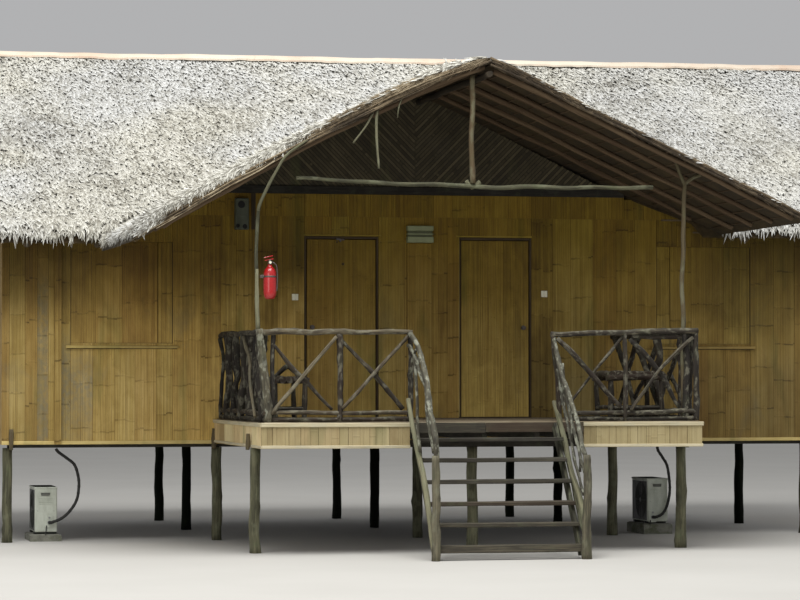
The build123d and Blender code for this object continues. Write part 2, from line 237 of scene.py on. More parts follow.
def rounded(b, x0, x1, y0, y1, z0, z1, r, seg=3, tone=0.5, hue=0.5, mat=0):
    """A box with its upright edges and its top and bottom rims rounded."""
    cx, cy, a, c = (x0 + x1) / 2, (y0 + y1) / 2, (x1 - x0) / 2, (y1 - y0) / 2
    rings = []
    prof = [(z0, r * 0.7), (z0 + r * 0.3, r * 0.2), (z0 + r, 0), (z1 - r, 0), (z1 - r * 0.3, r * 0.2), (z1, r * 0.7)]
    for z, ins in prof:
        ring = []
        rr = max(r - ins, r * 0.3)
        aa, cc = a - ins, c - ins
        for k, (sx, sy) in enumerate(((1, -1), (1, 1), (-1, 1), (-1, -1))):
            for t in np.linspace(0, math.pi / 2, seg + 1):
                ang = -math.pi / 2 + k * math.pi / 2 + t
                ring.append((cx + sx * (aa - rr) + rr * math.cos(ang), cy + sy * (cc - rr) + rr * math.sin(ang), z))
        rings.append(ring)
    loft(b, np.array(rings), (tone, hue, 0, 0), None, mat, False)


def disc(b, centre, axis, r0, r1, length, sides=20, tone=0.5, hue=0.5, mat=0, profile=None, smooth=True):
    """A turned shape: radii r0 to r1 along axis, or (distance, radius) pairs."""
    ax = np.asarray(axis, float)
    ax /= np.linalg.norm(ax)
    ref = np.array([0, 0, 1.0]) if abs(ax[2]) < 0.9 else np.array([1.0, 0, 0])
    U = np.cross(ax, ref)
    U /= np.linalg.norm(U)
    W = np.cross(ax, U)
    th = np.arange(sides) * TAU / sides
    prof = profile or [(0, r0), (length, r1)]
    ring = np.array([np.asarray(centre, float) + ax * d + r * (np.cos(th)[:, None] * U + np.sin(th)[:, None] * W) for d, r in prof])
    loft(b, ring, (tone, hue, 0, 0), None, mat, smooth)


# --------------------------------------------------------- split bamboo skins
def sheets(b, place, u0, u1, zlo, zhi, seed, sheet=0.24, slat=0.026, node=0.46, t=0.004, tone=0.5, spread=0.10, mat=0, cuts=None, tones=None, fine=True, grey=None, loose=False):
    """Upright flattened bamboo: sheets of narrow slats whose nodes line up.

    place(u, z, d) gives points, d standing out of the wall. cuts are fixed
    sheet edges and tones their brightness, otherwise widths are uneven."""
    rng = np.random.default_rng(seed)
    o = place(np.zeros(1), np.zeros(1), np.zeros(1))[0]
    ax = [place(*[np.array([float(k == i)]) for k in range(3)])[0] - o for i in range(3)]
    flip = float(np.dot(np.cross(ax[0], ax[2]), ax[1])) > 0
    zl = zlo if callable(zlo) else (lambda u: zlo)
    zh = zhi if callable(zhi) else (lambda u: zhi)
    edges = [u0]
    if cuts:
        edges += [c for c in cuts if u0 + 0.02 < c < u1 - 0.02]
    else:
        while edges[-1] < u1 - sheet * 0.6:
            edges.append(edges[-1] + sheet * rng.uniform(0.65, 1.3))
        if len(edges) > 1 and u1 - edges[-1] < sheet * 0.35:
            edges.pop()
    edges.append(u1)
    for k in range(len(edges) - 1):
        a, c = edges[k], edges[k + 1]
        lift = rng.uniform(0.0, 0.0025)
        base = tone + rng.normal() * spread if not tones else tones[min(k, len(tones) - 1)]
        hue = float(np.clip(0.5 + rng.normal() * 0.2, 0, 1))
        phase = rng.uniform(0, node)
        nd_k = node * rng.uniform(0.88, 1.14)
        sheet_deep = rng.uniform(0.5, 1.25)
        # each length between two nodes has its own tone, like patchwork
        part = np.clip(rng.normal(size=12) * 0.045, -0.09, 0.09)
        m = max(1, int(round((c - a) / slat)))
        cutsu = np.linspace(a, c, m + 1)
        if m > 2:
            cutsu[1:-1] += rng.uniform(-0.36, 0.36, m - 1) * (c - a) / m
        walk = lowpass(rng.normal(size=m + 4), 2, 0, False) * 0.006
        step = np.repeat(rng.normal(size=m + 4) * 0.010, rng.integers(2, 6, m + 4))
        dash = lowpass(rng.normal(size=(12, m + 4)), 1, 1, False)
        dash /= max(float(dash.std()), 1e-6)
        for i in range(m):
            g0, g1 = np.clip(rng.exponential(0.00022, 2), 0.00005, 0.0012)
            s0, s1 = cutsu[i] + (0.0020 if i == 0 else g0), cutsu[i + 1] - (0.0020 if i == m - 1 else g1)
            w = s1 - s0
            if w < 0.003:
                continue
            if loose:
                phase = rng.uniform(0, node)
            mid = (s0 + s1) / 2
            lo, hi = float(zl(mid)), float(min(zh(s0), zh(s1)))
            if hi - lo < 0.02:
                continue
            zs, nd, dd, pk = [lo], [0.0], [0.0], [0]
            zn = lo + (phase - lo) % node
            jit = rng.normal() * 0.0025 + walk[i + 2] + step[i]
            while fine and zn < hi - 0.03:
                if zn > lo + 0.03:
                    q = pk[-1]
                    deep = float(np.clip(0.54 + 0.42 * dash[q % 12, i + 2] + rng.normal() * 0.10, 0.0, 1.0)) * (0.5 if loose else 1.0)
                    deep = min(deep * sheet_deep, 1.0)
                    zs += [zn + jit - 0.015, zn + jit, zn + jit + 0.013]
                    nd += [0.10 * deep, deep, 0.16 * deep]
                    dd += [0.0, 0.0014, 0.0]
                    pk += [q, q + 1, q + 1]
                zn += nd_k
            zs.append(hi)
            nd.append(0.0)
            dd.append(0.0)
            pk.append(pk[-1])
            zs, nd, dd = np.array(zs), np.array(nd), np.array(dd)
            more = part[np.array(pk) % 12] * (1.0 if fine and not loose else 0.0)
            R = len(zs)
            e = min(0.0007, w * 0.2)
            h = t + lift + rng.uniform(-0.0006, 0.0006)
            uu = np.array([s0, s0 + e, s1 - e, s1])
            hh = np.array([-0.001, h, h, -0.001])
            us = np.tile(uu, R)
            ds = (hh[None] + dd[:, None] * (hh[None] > 0)).ravel()
            zz = np.repeat(zs, 4)
            v = place(us, zz, ds).reshape(R, 4, 3)
            col = np.empty((R, 4, 4))
            col[..., 0] = np.clip(base + rng.normal() * 0.045 + more, 0, 1)[:, None]
            col[..., 1] = hue
            col[..., 2] = nd[:, None]
            col[..., 3] = 0 if grey is None else grey(us, zz).reshape(R, 4)
            off = rng.uniform(0, 40)
            g = np.stack([zz + off, us * 1.0 + off, ds], -1)
            loft(b, v, col, g, mat, False, flip=flip)


def front(y=0.0):
    return lambda u, z, d: np.stack([u, y - d, z], -1)


def rear(y):
    return lambda u, z, d: np.stack([u, y + d, z], -1)


def leftward(x):
    return lambda u, z, d: np.stack([x - d, u, z], -1)


def rightward(x):
    return lambda u, z, d: np.stack([x + d, u, z], -1)


# ------------------------------------------------------------------ leaves
def leaves(b, pos, right, down, nrm, rng, length, width, lift, lean=0.35, tone=0.6, spread=0.16, sink=0.012, droop=0.0, mat=0, thick=0.003, skew=0.0, roll=0.16):
    """Closed pointed palm leaflets. pos is (N, 3) where each starts."""
    N = len(pos)
    a = rng.normal(size=N) * lean + skew
    D = down * np.cos(a)[:, None] + right * np.sin(a)[:, None]
    Rt = np.cross(D, nrm)
    Rt /= np.linalg.norm(Rt, axis=1)[:, None]
    L = length * rng.uniform(0.65, 1.35, N)
    Wd = width * rng.uniform(0.6, 1.4, N)
    H = np.maximum(0.0, lift * (1 + 0.8 * rng.normal(size=N)))
    dr = droop * rng.uniform(0.6, 1.4, N)
    side = Rt + nrm * (rng.normal(size=N) * roll)[:, None]
    p0 = pos - nrm * sink
    verts = np.empty((N, 4, 3))
    verts[:, 0] = p0 - side * (Wd * 0.5)[:, None]
    verts[:, 1] = p0 + nrm * (thick + Wd * 0.20 + sink * 0.5)[:, None]
    verts[:, 2] = p0 + side * (Wd * 0.5)[:, None]
    verts[:, 3] = pos + D * L[:, None] + nrm * (H - dr)[:, None]
    off = (np.arange(N) * 4)[:, None, None]
    tris = np.array([(0, 1, 2), (0, 3, 1), (1, 3, 2), (2, 3, 0)])
    base = np.clip(tone + rng.normal(size=N) * spread, 0, 1)
    col = np.zeros((N, 4, 4))
    col[..., 0] = base[:, None]
    col[..., 1] = rng.uniform(0, 1, N)[:, None]
    # the base corners carry the dark mark: painted shade where the next course lies over the leaf
    col[:, :3, 2] = 1.0
    g = np.zeros((N, 4, 3))
    s = rng.uniform(0, 60, N)
    g[:, :3, 0], g[:, 3, 0] = s[:, None], s + 0.2
    g[:, 2, 1], g[:, 1, 1], g[:, 3, 1] = 0.03, 0.015, 0.015
    b.add(verts, [tris[None] + off], col, g, mat)


# ---------------------------------------------------------------- materials
class Shade:
    """Short names for building a node material."""

    def __init__(self, name, rough=0.8, **values):
        self.m = bpy.data.materials.new(name)
        self.m.use_nodes = True
        self.t = self.m.node_tree
        self.t.nodes.clear()
        self.bsdf = self.t.nodes.new("ShaderNodeBsdfPrincipled")
        out = self.t.nodes.new("ShaderNodeOutputMaterial")
        self.t.links.new(self.bsdf.outputs[0], out.inputs[0])
        self.bsdf.inputs["Roughness"].default_value = rough
        for k, v in values.items():
            self.bsdf.inputs[k.replace("_", " ")].default_value = v
        tc = self.t.nodes.new("ShaderNodeTexCoord")
        self.obj = tc.outputs["Object"]
        self.normal = tc.outputs["Normal"]
        at = self.t.nodes.new("ShaderNodeAttribute")
        at.attribute_name = "grain"
        self.grain = at.outputs["Vector"]
        at = self.t.nodes.new("ShaderNodeAttribute")
        at.attribute_name = "tone"
        sep = self.t.nodes.new("ShaderNodeSeparateColor")
        self.t.links.new(at.outputs["Color"], sep.inputs[0])
        self.r, self.g, self.b = sep.outputs
        self.a = at.outputs["Alpha"]

    def put(self, sock, v):
        if isinstance(v, bpy.types.NodeSocket):
            self.t.links.new(v, sock)
        elif isinstance(v, (tuple, list)) and len(v) == 3 and sock.type == "RGBA":
            sock.default_value = (*v, 1)
        else:
            sock.default_value = v

    def scale(self, vec, s):
        n = self.t.nodes.new("ShaderNodeMapping")
        n.inputs["Scale"].default_value = s if isinstance(s, tuple) else (s, s, s)
        self.put(n.inputs["Vector"], vec)
        return n.outputs[0]

    def noise(self, vec, scale=1.0, detail=4.0, rough=0.55, dist=0.0):
        n = self.t.nodes.new("ShaderNodeTexNoise")
        self.put(n.inputs["Vector"], vec)
        for k, v in (("Scale", scale), ("Detail", detail), ("Roughness", rough), ("Distortion", dist)):
            n.inputs[k].default_value = v
        return n.outputs["Fac"] if "Fac" in n.outputs else n.outputs[0]

    def voronoi(self, vec, scale, feature="F1", out="Distance"):
        n = self.t.nodes.new("ShaderNodeTexVoronoi")
        n.feature = feature
        self.put(n.inputs["Vector"], vec)
        n.inputs["Scale"].default_value = scale
        return n.outputs[out]

    def ramp(self, fac, stops, kind="LINEAR"):
        n = self.t.nodes.new("ShaderNodeValToRGB")
        n.color_ramp.interpolation = kind
        e = n.color_ramp.elements
        while len(e) < len(stops):
            e.new(0.5)
        for el, (p, c) in zip(e, stops):
            el.position = p
            el.color = (c, c, c, 1) if isinstance(c, (int, float)) else (*c, 1)
        self.put(n.inputs[0], fac)
        return n.outputs[0]

    def remap(self, v, a, b, c=0.0, d=1.0):
        n = self.t.nodes.new("ShaderNodeMapRange")
        for k, x in zip(("Value", "From Min", "From Max", "To Min", "To Max"), (v, a, b, c, d)):
            self.put(n.inputs[k], x)
        return n.outputs[0]

    def mix(self, fac, a, b, mode="MIX"):
        n = self.t.nodes.new("ShaderNodeMix")
        n.data_type = "RGBA"
        n.blend_type = mode
        n.clamp_factor = True
        self.put(n.inputs[0], fac)
        self.put(n.inputs[6], a)
        self.put(n.inputs[7], b)
        return n.outputs[2]

    def math(self, op, a, b=0.0, clamp=False):
        n = self.t.nodes.new("ShaderNodeMath")
        n.operation = op
        n.use_clamp = clamp
        self.put(n.inputs[0], a)
        self.put(n.inputs[1], b)
        return n.outputs[0]

    def color(self, c):
        self.put(self.bsdf.inputs["Base Color"], c)

    def rough(self, v):
        self.put(self.bsdf.inputs["Roughness"], v)

    def bump(self, height, strength=0.4, distance=0.003):
        n = self.t.nodes.new("ShaderNodeBump")
        n.inputs["Strength"].default_value = strength
        n.inputs["Distance"].default_value = distance
        self.put(n.inputs["Height"], height)
        self.t.links.new(n.outputs[0], self.bsdf.inputs["Normal"])


def bamboo(name, dark, mid, light, grey=(0.22, 0.20, 0.155), green=(0.10, 0.115, 0.035), node=0.6, grime=0.5, shade=None, contrast=0.16, along=None):
    """Flattened split bamboo: long fibres, dark nodes, weathered patches.

    shade is ((z, colour), ...) for painted shade that deepens under a roof, painted light where a colour passes 1, and
    smoke and algae staining, along is two lists of (x, tone), low and high on the wall."""
    s = Shade(name, 0.62)
    fibre = s.noise(s.scale(s.grain, (1.6, 130, 130)), 1, 3, 0.6)
    streak = s.noise(s.scale(s.grain, (0.9, 34, 34)), 1, 2, 0.5)
    big = s.noise(s.scale(s.obj, (1.6, 1.6, 0.8)), 1, 5, 0.65, 0.6)
    blot = s.noise(s.scale(s.obj, (5.5, 5.5, 3.0)), 1, 4, 0.6, 0.5)
    v = s.math("ADD", s.r, s.remap(fibre, 0.3, 0.7, -contrast, contrast))
    v = s.math("ADD", v, s.remap(blot, 0.3, 0.7, -0.13, 0.13))
    c = s.ramp(v, [(0.12, dark), (0.5, mid), (0.88, light)])
    c = s.mix(s.remap(streak, 0.55, 0.78, 0, 0.5), c, (dark[0] * 0.8, dark[1] * 0.72, dark[2] * 0.6))
    c = s.mix(s.remap(s.g, 0.2, 0.9, 0.0, 0.35), c, (mid[0] * 1.15, mid[1] * 0.92, mid[2] * 0.95))
    c = s.mix(s.math("MULTIPLY", s.remap(big, 0.56, 0.72), grime, True), c, grey)
    c = s.mix(s.remap(s.noise(s.scale(s.obj, (3.2, 3.2, 0.7)), 1, 3), 0.58, 0.74, 0, 0.55), c, green)
    speck = s.remap(s.noise(s.scale(s.obj, (26, 26, 17)), 1, 3, 0.7), 0.38, 0.62, 0.35, 1.0)
    c = s.mix(s.math("MULTIPLY", s.a, speck, True), c, grey)
    spots = s.voronoi(s.scale(s.grain, (14, 38, 38)), 1.0)
    c = s.mix(s.remap(spots, 0.0, 0.16, 0.45, 0.0), c, (dark[0] * 0.5, dark[1] * 0.45, dark[2] * 0.4))
    c = s.mix(s.math("MULTIPLY", s.b, node, True), c, (dark[0] * 0.35, dark[1] * 0.3, dark[2] * 0.25))
    if shade:
        sep = s.t.nodes.new("ShaderNodeSeparateXYZ")
        s.t.links.new(s.obj, sep.inputs[0])
        z = s.math("ADD", sep.outputs[2], s.remap(big, 0.3, 0.7, -0.22, 0.22))
        z0, z1 = shade[0][0], shade[-1][0]
        # painted shade under the roof, together with smoke and algae staining, by height
        shade_and_stain = s.ramp(s.remap(z, z0, z1), [((q - z0) / (z1 - z0), k) for q, k in shade])
        c = s.mix(1.0, c, shade_and_stain, "MULTIPLY")
        s.m.node_tree.nodes["Principled BSDF"].inputs["Specular IOR Level"].default_value = 0.28
    if along:
        # painted light and shade along the wall, low and high on it, blended by height
        tones = []
        for keys in along:
            x0, x1 = keys[0][0], keys[-1][0]
            tones.append(s.ramp(s.remap(sep.outputs[0], x0, x1), [((q - x0) / (x1 - x0), (k, k, k * (0.94 if k < 0.7 else 1.0))) for q, k in keys]))
        c = s.mix(1.0, c, s.mix(s.remap(z, 1.95, 2.45), tones[0], tones[1]), "MULTIPLY")
    s.color(c)
    s.rough(s.remap(fibre, 0.2, 0.8, 0.55, 0.85))
    s.bump(fibre, 0.35, 0.0015)
    return s.m


def wood(name, dark, mid, light, lichen=0.0, moss=0.0, gloss=0.85, bumpy=0.5, scale=1.0, lichen_color=(0.36, 0.38, 0.33), spots=1.0, top=0.0):
    """Rough timber: grain along each member, knots, lichen and moss."""
    s = Shade(name, gloss)
    grain = s.noise(s.scale(s.grain, (3.5 * scale, 70 * scale, 70 * scale)), 1, 4, 0.65, 0.3)
    crack = s.noise(s.scale(s.grain, (1.6 * scale, 120 * scale, 120 * scale)), 1, 2, 0.5)
    patch = s.noise(s.scale(s.grain, (5 * spots, 9 * spots, 9 * spots)), 1, 3, 0.6)
    c = s.ramp(s.math("ADD", s.r, s.remap(grain, 0.3, 0.7, -0.22, 0.22)), [(0.1, dark), (0.5, mid), (0.9, light)])
    c = s.mix(s.remap(crack, 0.60, 0.72, 0, 0.7), c, (dark[0] * 0.4, dark[1] * 0.4, dark[2] * 0.4))
    c = s.mix(s.remap(s.g, 0.5, 1.0, 0.0, 0.6), c, (mid[0] * 1.5, mid[1] * 1.0, mid[2] * 0.8))
    if lichen:
        c = s.mix(s.math("MULTIPLY", s.remap(patch, 0.52, 0.62), lichen, True), c, lichen_color)
    if top:
        # faces that point up turn lighter: painted top light, together with dust and lichen that settle there
        up = s.t.nodes.new("ShaderNodeSeparateXYZ")
        s.t.links.new(s.normal, up.inputs[0])
        c = s.mix(s.math("MULTIPLY", s.remap(up.outputs[2], 0.15, 0.95, 0, top), s.remap(patch, 0.40, 0.60, 0.35, 1.0), True), c, lichen_color)
    if moss:
        m = s.noise(s.scale(s.obj, (7, 7, 5)), 1, 4, 0.7)
        c = s.mix(s.math("MULTIPLY", s.remap(m, 0.55, 0.7), moss, True), c, (0.09, 0.12, 0.05))
    c = s.mix(s.math("MULTIPLY", s.b, 0.6, True), c, (dark[0] * 0.4, dark[1] * 0.4, dark[2] * 0.4))
    s.color(c)
    s.bump(s.math("ADD", grain, s.math("MULTIPLY", patch, 0.5)), bumpy, 0.004)
    return s.m


def thatch(name, dark, mid, light, base=0.55, big_amt=0.30, speck=0.06):
    s = Shade(name, 0.9)
    vein = s.noise(s.scale(s.grain, (4, 260, 40)), 1, 3, 0.6)
    big = s.noise(s.scale(s.obj, 0.9), 1, 4, 0.6)
    mid_n = s.noise(s.scale(s.obj, 5.0), 1, 3, 0.6)
    v = s.math("ADD", s.r, s.remap(vein, 0.3, 0.7, -0.1, 0.1))
    v = s.math("ADD", v, s.remap(big, 0.3, 0.7, -big_amt * 0.5, big_amt * 0.5))
    v = s.math("ADD", v, s.remap(mid_n, 0.35, 0.65, -0.11, 0.11))
    fine = s.noise(s.scale(s.obj, 24.0), 1, 3, 0.6)
    v = s.math("ADD", v, s.remap(fine, 0.36, 0.64, -speck, speck))
    c = s.ramp(v, [(0.08, dark), (0.42, mid), (0.8, light)])
    # the dark mark darkens leaf bases and the slab top: painted shade under the overlapping courses
    c = s.mix(s.math("MULTIPLY", s.b, base, True), c, (dark[0] * 0.55, dark[1] * 0.5, dark[2] * 0.45))
    hue = s.ramp(s.noise(s.scale(s.obj, (0.55, 0.55, 0.9)), 1, 2, 0.5), [(0.40, (0.965, 0.985, 1.02)), (0.60, (1.0, 1.0, 0.965))])
    c = s.mix(1.0, c, hue, "MULTIPLY")
    s.color(c)
    s.bump(vein, 0.4, 0.002)
    return s.m


def plain(name, col, rough=0.5, dirt=0.4, dirt_col=(0.10, 0.09, 0.06), scale=6.0, metal=0.0, low=0.0, bump=0.15, coat=0.0):
    """Painted or moulded surface with dust, streaks and small wear."""
    s = Shade(name, rough, Metallic=metal, Coat_Weight=coat)
    n = s.noise(s.scale(s.obj, (scale, scale, scale * 0.4)), 1, 5, 0.65)
    f = s.noise(s.scale(s.obj, scale * 14), 1, 3, 0.6)
    c = s.mix(s.remap(n, 0.42, 0.75, 0, dirt), (col[0], col[1], col[2]), dirt_col)
    c = s.mix(s.remap(f, 0.62, 0.75, 0, dirt * 0.8), c, (dirt_col[0] * 0.8, dirt_col[1] * 0.8, dirt_col[2] * 0.8))
    s.color(c)
    s.rough(s.remap(n, 0.3, 0.7, max(0.05, rough - 0.12), min(1.0, rough + 0.2)))
    s.bump(f, bump, 0.001)
    return s.m


# painted shade that deepens toward the roof, with smoke and algae staining, and painted light where a value passes 1:
# left, middle and right of the front
SHADE_STAIN_L = ((1.7, (1.42, 1.42, 1.26)), (2.2, (1.28, 1.25, 0.98)), (2.75, (0.58, 0.53, 0.28)), (3.05, (0.37, 0.325, 0.12)), (3.4, (0.44, 0.39, 0.105)))
SHADE_STAIN_M = ((1.7, (1.14, 1.14, 0.88)), (2.2, (0.96, 0.95, 0.66)), (2.75, (0.70, 0.66, 0.34)), (3.3, (0.58, 0.53, 0.145)))
SHADE_STAIN_R = ((1.7, (0.66, 0.66, 0.54)), (2.2, (0.82, 0.80, 0.54)), (2.75, (0.68, 0.64, 0.31)), (3.3, (0.52, 0.48, 0.135)))
SHADE_STAIN_D = ((1.7, (1.56, 1.56, 1.20)), (2.2, (1.18, 1.15, 0.78)), (2.75, (0.82, 0.76, 0.33)), (3.3, (0.60, 0.54, 0.145)))
SHADE_STAIN_SOFT = ((1.7, (1.0, 1.0, 1.0)), (2.6, (0.85, 0.83, 0.75)), (3.5, (0.62, 0.58, 0.45)))
B_DARK, B_MID, B_LIGHT = (0.16, 0.10, 0.028), (0.37, 0.262, 0.088), (0.55, 0.42, 0.19)
# painted light and shade along the front wall: (x, tone) low and high on it, left and right
PAINTED_LIGHT_ALONG_L = (((-4.6, 0.52), (-4.2, 0.60), (-3.9, 0.66), (-3.6, 0.83), (-3.1, 0.93), (-2.7, 1.10), (-2.3, 1.30)),
           ((-4.6, 0.70), (-3.9, 0.77), (-3.6, 1.00), (-3.1, 1.10), (-2.3, 1.22)))
PAINTED_LIGHT_ALONG_R = (((2.6, 1.00), (3.3, 1.12), (3.65, 1.12), (3.85, 0.95), (4.1, 0.74), (4.6, 0.66)),
           ((2.6, 1.00), (3.1, 0.88), (3.45, 0.58), (3.9, 0.53), (4.3, 0.43), (4.6, 0.41)))
# each copy below carries its own painted shade by height, and the front left and right ones painted light and shade
# along the wall
M_WALL_L = bamboo("split_bamboo_left_mat", B_DARK, B_MID, B_LIGHT, shade=SHADE_STAIN_L, node=0.8, along=PAINTED_LIGHT_ALONG_L)
M_WALL = bamboo("split_bamboo_mat", B_DARK, B_MID, B_LIGHT, shade=SHADE_STAIN_M, node=0.8)
M_WALL_R = bamboo("split_bamboo_right_mat", B_DARK, B_MID, B_LIGHT, shade=SHADE_STAIN_R, node=0.8, along=PAINTED_LIGHT_ALONG_R)
M_WALL2 = bamboo("split_bamboo_back_mat", B_DARK, B_MID, B_LIGHT, shade=SHADE_STAIN_SOFT, node=0.7)
M_STRIP = bamboo("bamboo_strip_mat", (0.24, 0.17, 0.07), (0.48, 0.38, 0.18), (0.62, 0.52, 0.30), shade=SHADE_STAIN_M)
M_DOOR = bamboo("door_bamboo_mat", (0.13, 0.085, 0.025), (0.32, 0.23, 0.078), (0.47, 0.36, 0.16), grime=0.2, shade=SHADE_STAIN_D, node=0.5, contrast=0.18)
M_JAMB = wood("dark_jamb_mat", (0.020, 0.013, 0.006), (0.062, 0.041, 0.018), (0.12, 0.082, 0.040))
# one pale bamboo in two copies, darker on the front skirts and lighter on the side skirts: painted shade and light
M_PALE = bamboo("pale_bamboo_mat", (0.18, 0.135, 0.055), (0.345, 0.285, 0.140), (0.47, 0.405, 0.225), grime=0.22, node=0.3, contrast=0.08)
M_PALE_S = bamboo("pale_bamboo_side_mat", (0.34, 0.255, 0.115), (0.63, 0.52, 0.265), (0.80, 0.69, 0.40), grime=0.15, node=0.3, contrast=0.08)
M_CAPS = wood("pale_strip_mat", (0.26, 0.21, 0.12), (0.46, 0.40, 0.25), (0.60, 0.54, 0.38), lichen=0.2)
M_WEAVE = bamboo("woven_bamboo_mat", (0.014, 0.011, 0.005), (0.050, 0.041, 0.018), (0.13, 0.107, 0.055), grime=0.08, node=0.9, contrast=0.08)
M_POST = wood("weathered_pole_mat", (0.012, 0.011, 0.007), (0.082, 0.080, 0.044), (0.205, 0.195, 0.118), lichen=0.4, moss=0.3, lichen_color=(0.18, 0.19, 0.12))
# a darker copy of the pole wood for the posts under the house: painted shade
M_SHADED_POST = wood("shaded_pole_mat", (0.002, 0.003, 0.001), (0.006, 0.009, 0.004), (0.022, 0.027, 0.013), moss=0.1)
M_SHADED_POST.node_tree.nodes["Principled BSDF"].inputs["Specular IOR Level"].default_value = 0.15
M_NEWEL = wood("newel_pole_mat", (0.014, 0.012, 0.008), (0.062, 0.055, 0.035), (0.165, 0.147, 0.093), lichen=0.4, moss=0.25, lichen_color=(0.20, 0.20, 0.14), top=0.3)
M_RAIL = wood("spotted_rail_mat", (0.012, 0.010, 0.006), (0.050, 0.044, 0.028), (0.15, 0.135, 0.085), lichen=0.50, moss=0.15, lichen_color=(0.36, 0.37, 0.29), spots=2.6, top=0.3)
M_LOG = wood("rustic_log_mat", (0.008, 0.0055, 0.003), (0.026, 0.019, 0.011), (0.185, 0.155, 0.094), lichen=0.46, moss=0.15, lichen_color=(0.21, 0.20, 0.145), spots=2.3, top=0.36, bumpy=0.8)
M_SAWN = wood("sawn_timber_mat", (0.012, 0.010, 0.007), (0.043, 0.037, 0.025), (0.125, 0.108, 0.070), lichen=0.1, moss=0.2, lichen_color=(0.12, 0.125, 0.09))
M_BOARD = wood("floor_boards_mat", (0.035, 0.026, 0.016), (0.13, 0.10, 0.062), (0.30, 0.25, 0.165), scale=0.7)
M_RPOLE = wood("roof_pole_mat", (0.016, 0.011, 0.005), (0.072, 0.052, 0.027), (0.18, 0.136, 0.078), scale=0.8)
M_THATCH = thatch("thatch_mat", (0.20, 0.19, 0.165), (0.52, 0.51, 0.46), (0.82, 0.815, 0.775), base=0.62, speck=0.16)
M_THATCH_IN = thatch("thatch_under_mat", (0.008, 0.0045, 0.001), (0.031, 0.0185, 0.003), (0.078, 0.050, 0.014))
M_RAKE = thatch("thatch_edge_mat", (0.030, 0.020, 0.010), (0.150, 0.110, 0.064), (0.40, 0.335, 0.235), base=0.35)
M_CAP = plain("ridge_cap_mat", (0.68, 0.60, 0.49), 0.6, 0.7, (0.56, 0.37, 0.26), 1.6)
M_STEEL = plain("hinge_steel_mat", (0.12, 0.115, 0.11), 0.45, 0.5, (0.16, 0.07, 0.03), 30, metal=0.7)
M_LAMP = plain("lamp_shell_mat", (0.080, 0.090, 0.034), 0.45, 0.4, (0.04, 0.04, 0.02), 9)
M_LAMP2 = plain("lamp_band_mat", (0.27, 0.30, 0.155), 0.4, 0.35, (0.10, 0.10, 0.05), 9)
M_BOX = plain("grey_box_mat", (0.070, 0.080, 0.050), 0.55, 0.6, (0.03, 0.03, 0.018), 8)
M_HOLE = plain("dark_hole_mat", (0.008, 0.008, 0.007), 0.8, 0.2, (0.02, 0.02, 0.015), 8)
M_SWITCH = plain("white_switch_mat", (0.92, 0.90, 0.72), 0.35, 0.2, (0.45, 0.38, 0.20), 22)
M_RED = plain("red_paint_mat", (0.39, 0.010, 0.012), 0.30, 0.3, (0.16, 0.012, 0.010), 12, coat=0.4)
M_WHITE = plain("white_paint_mat", (0.50, 0.53, 0.46), 0.42, 0.55, (0.15, 0.16, 0.10), 7)
M_VENT = plain("vent_slot_mat", (0.12, 0.125, 0.11), 0.5, 0.5, (0.10, 0.10, 0.07), 18)
M_GRILLE = plain("grille_mat", (0.022, 0.024, 0.022), 0.5, 0.5, (0.06, 0.06, 0.04), 18)
M_ALU = plain("fin_metal_mat", (0.30, 0.31, 0.31), 0.4, 0.5, (0.12, 0.11, 0.08), 18, metal=0.6)
M_FOAM = plain("black_foam_mat", (0.018, 0.018, 0.017), 0.85, 0.35, (0.06, 0.06, 0.05), 25)


def concrete_material():
    s = Shade("concrete_mat", 0.92)
    n = s.noise(s.scale(s.obj, 9), 1, 6, 0.7)
    f = s.noise(s.scale(s.obj, 90), 1, 4, 0.7)
    m = s.noise(s.scale(s.obj, (5, 5, 9)), 1, 4, 0.65)
    c = s.ramp(n, [(0.3, (0.10, 0.10, 0.08)), (0.7, (0.25, 0.25, 0.21))])
    c = s.mix(s.remap(f, 0.55, 0.7, 0, 0.45), c, (0.10, 0.095, 0.08))
    c = s.mix(s.remap(m, 0.48, 0.62, 0, 0.75), c, (0.07, 0.085, 0.035))
    s.color(c)
    s.bump(s.math("ADD", n, f), 0.6, 0.006)
    return s.m


M_CONC = concrete_material()

# ------------------------------------------------------------------- camera
F_PX, YAW, PITCH, ROLL = 3027.907, math.radians(12.35543), math.radians(1.44761), math.radians(-0.03989)
cam_data = bpy.data.cameras.new("camera")
cam = bpy.data.objects.new("camera", cam_data)
bpy.context.scene.collection.objects.link(cam)
cam_data.sensor_width = 36.0
cam_data.lens = 36.0 * F_PX / 800
cam_data.clip_start, cam_data.clip_end = 0.5, 400
cam.location = (-7.38629, -32.74702 - YC, 1.78684)
fwd = Vector((math.sin(YAW) * math.cos(PITCH), math.cos(YAW) * math.cos(PITCH), math.sin(PITCH)))
right = Vector((math.cos(YAW), -math.sin(YAW), 0))
up = right.cross(fwd)
r2 = right * math.cos(ROLL) + up * math.sin(ROLL)
u2 = -right * math.sin(ROLL) + up * math.cos(ROLL)
cam.rotation_mode = "QUATERNION"
cam.rotation_quaternion = Matrix((r2, u2, -fwd)).transposed().to_quaternion()
bpy.context.scene.camera = cam

# ------------------------------------------------------------ stage and light
sc = bpy.context.scene
sc.view_settings.view_transform = "Standard"
world = bpy.data.worlds.new("studio")
sc.world = world
world.use_nodes = True
bg = world.node_tree.nodes["Background"]
bg.inputs[0].default_value = (0.98, 0.985, 1.0, 1)
bg.inputs[1].default_value = 0.45


def lamp(name, loc, target, size, energy, color=(1, 1, 1)):
    d = bpy.data.lights.new(name, "AREA")
    d.shape = "SQUARE"
    d.size = size
    d.energy = energy
    d.color = color
    o = bpy.data.objects.new(name, d)
    o.location = loc
    o.rotation_euler = (Vector(target) - Vector(loc)).to_track_quat("-Z", "Y").to_euler()
    sc.collection.objects.link(o)


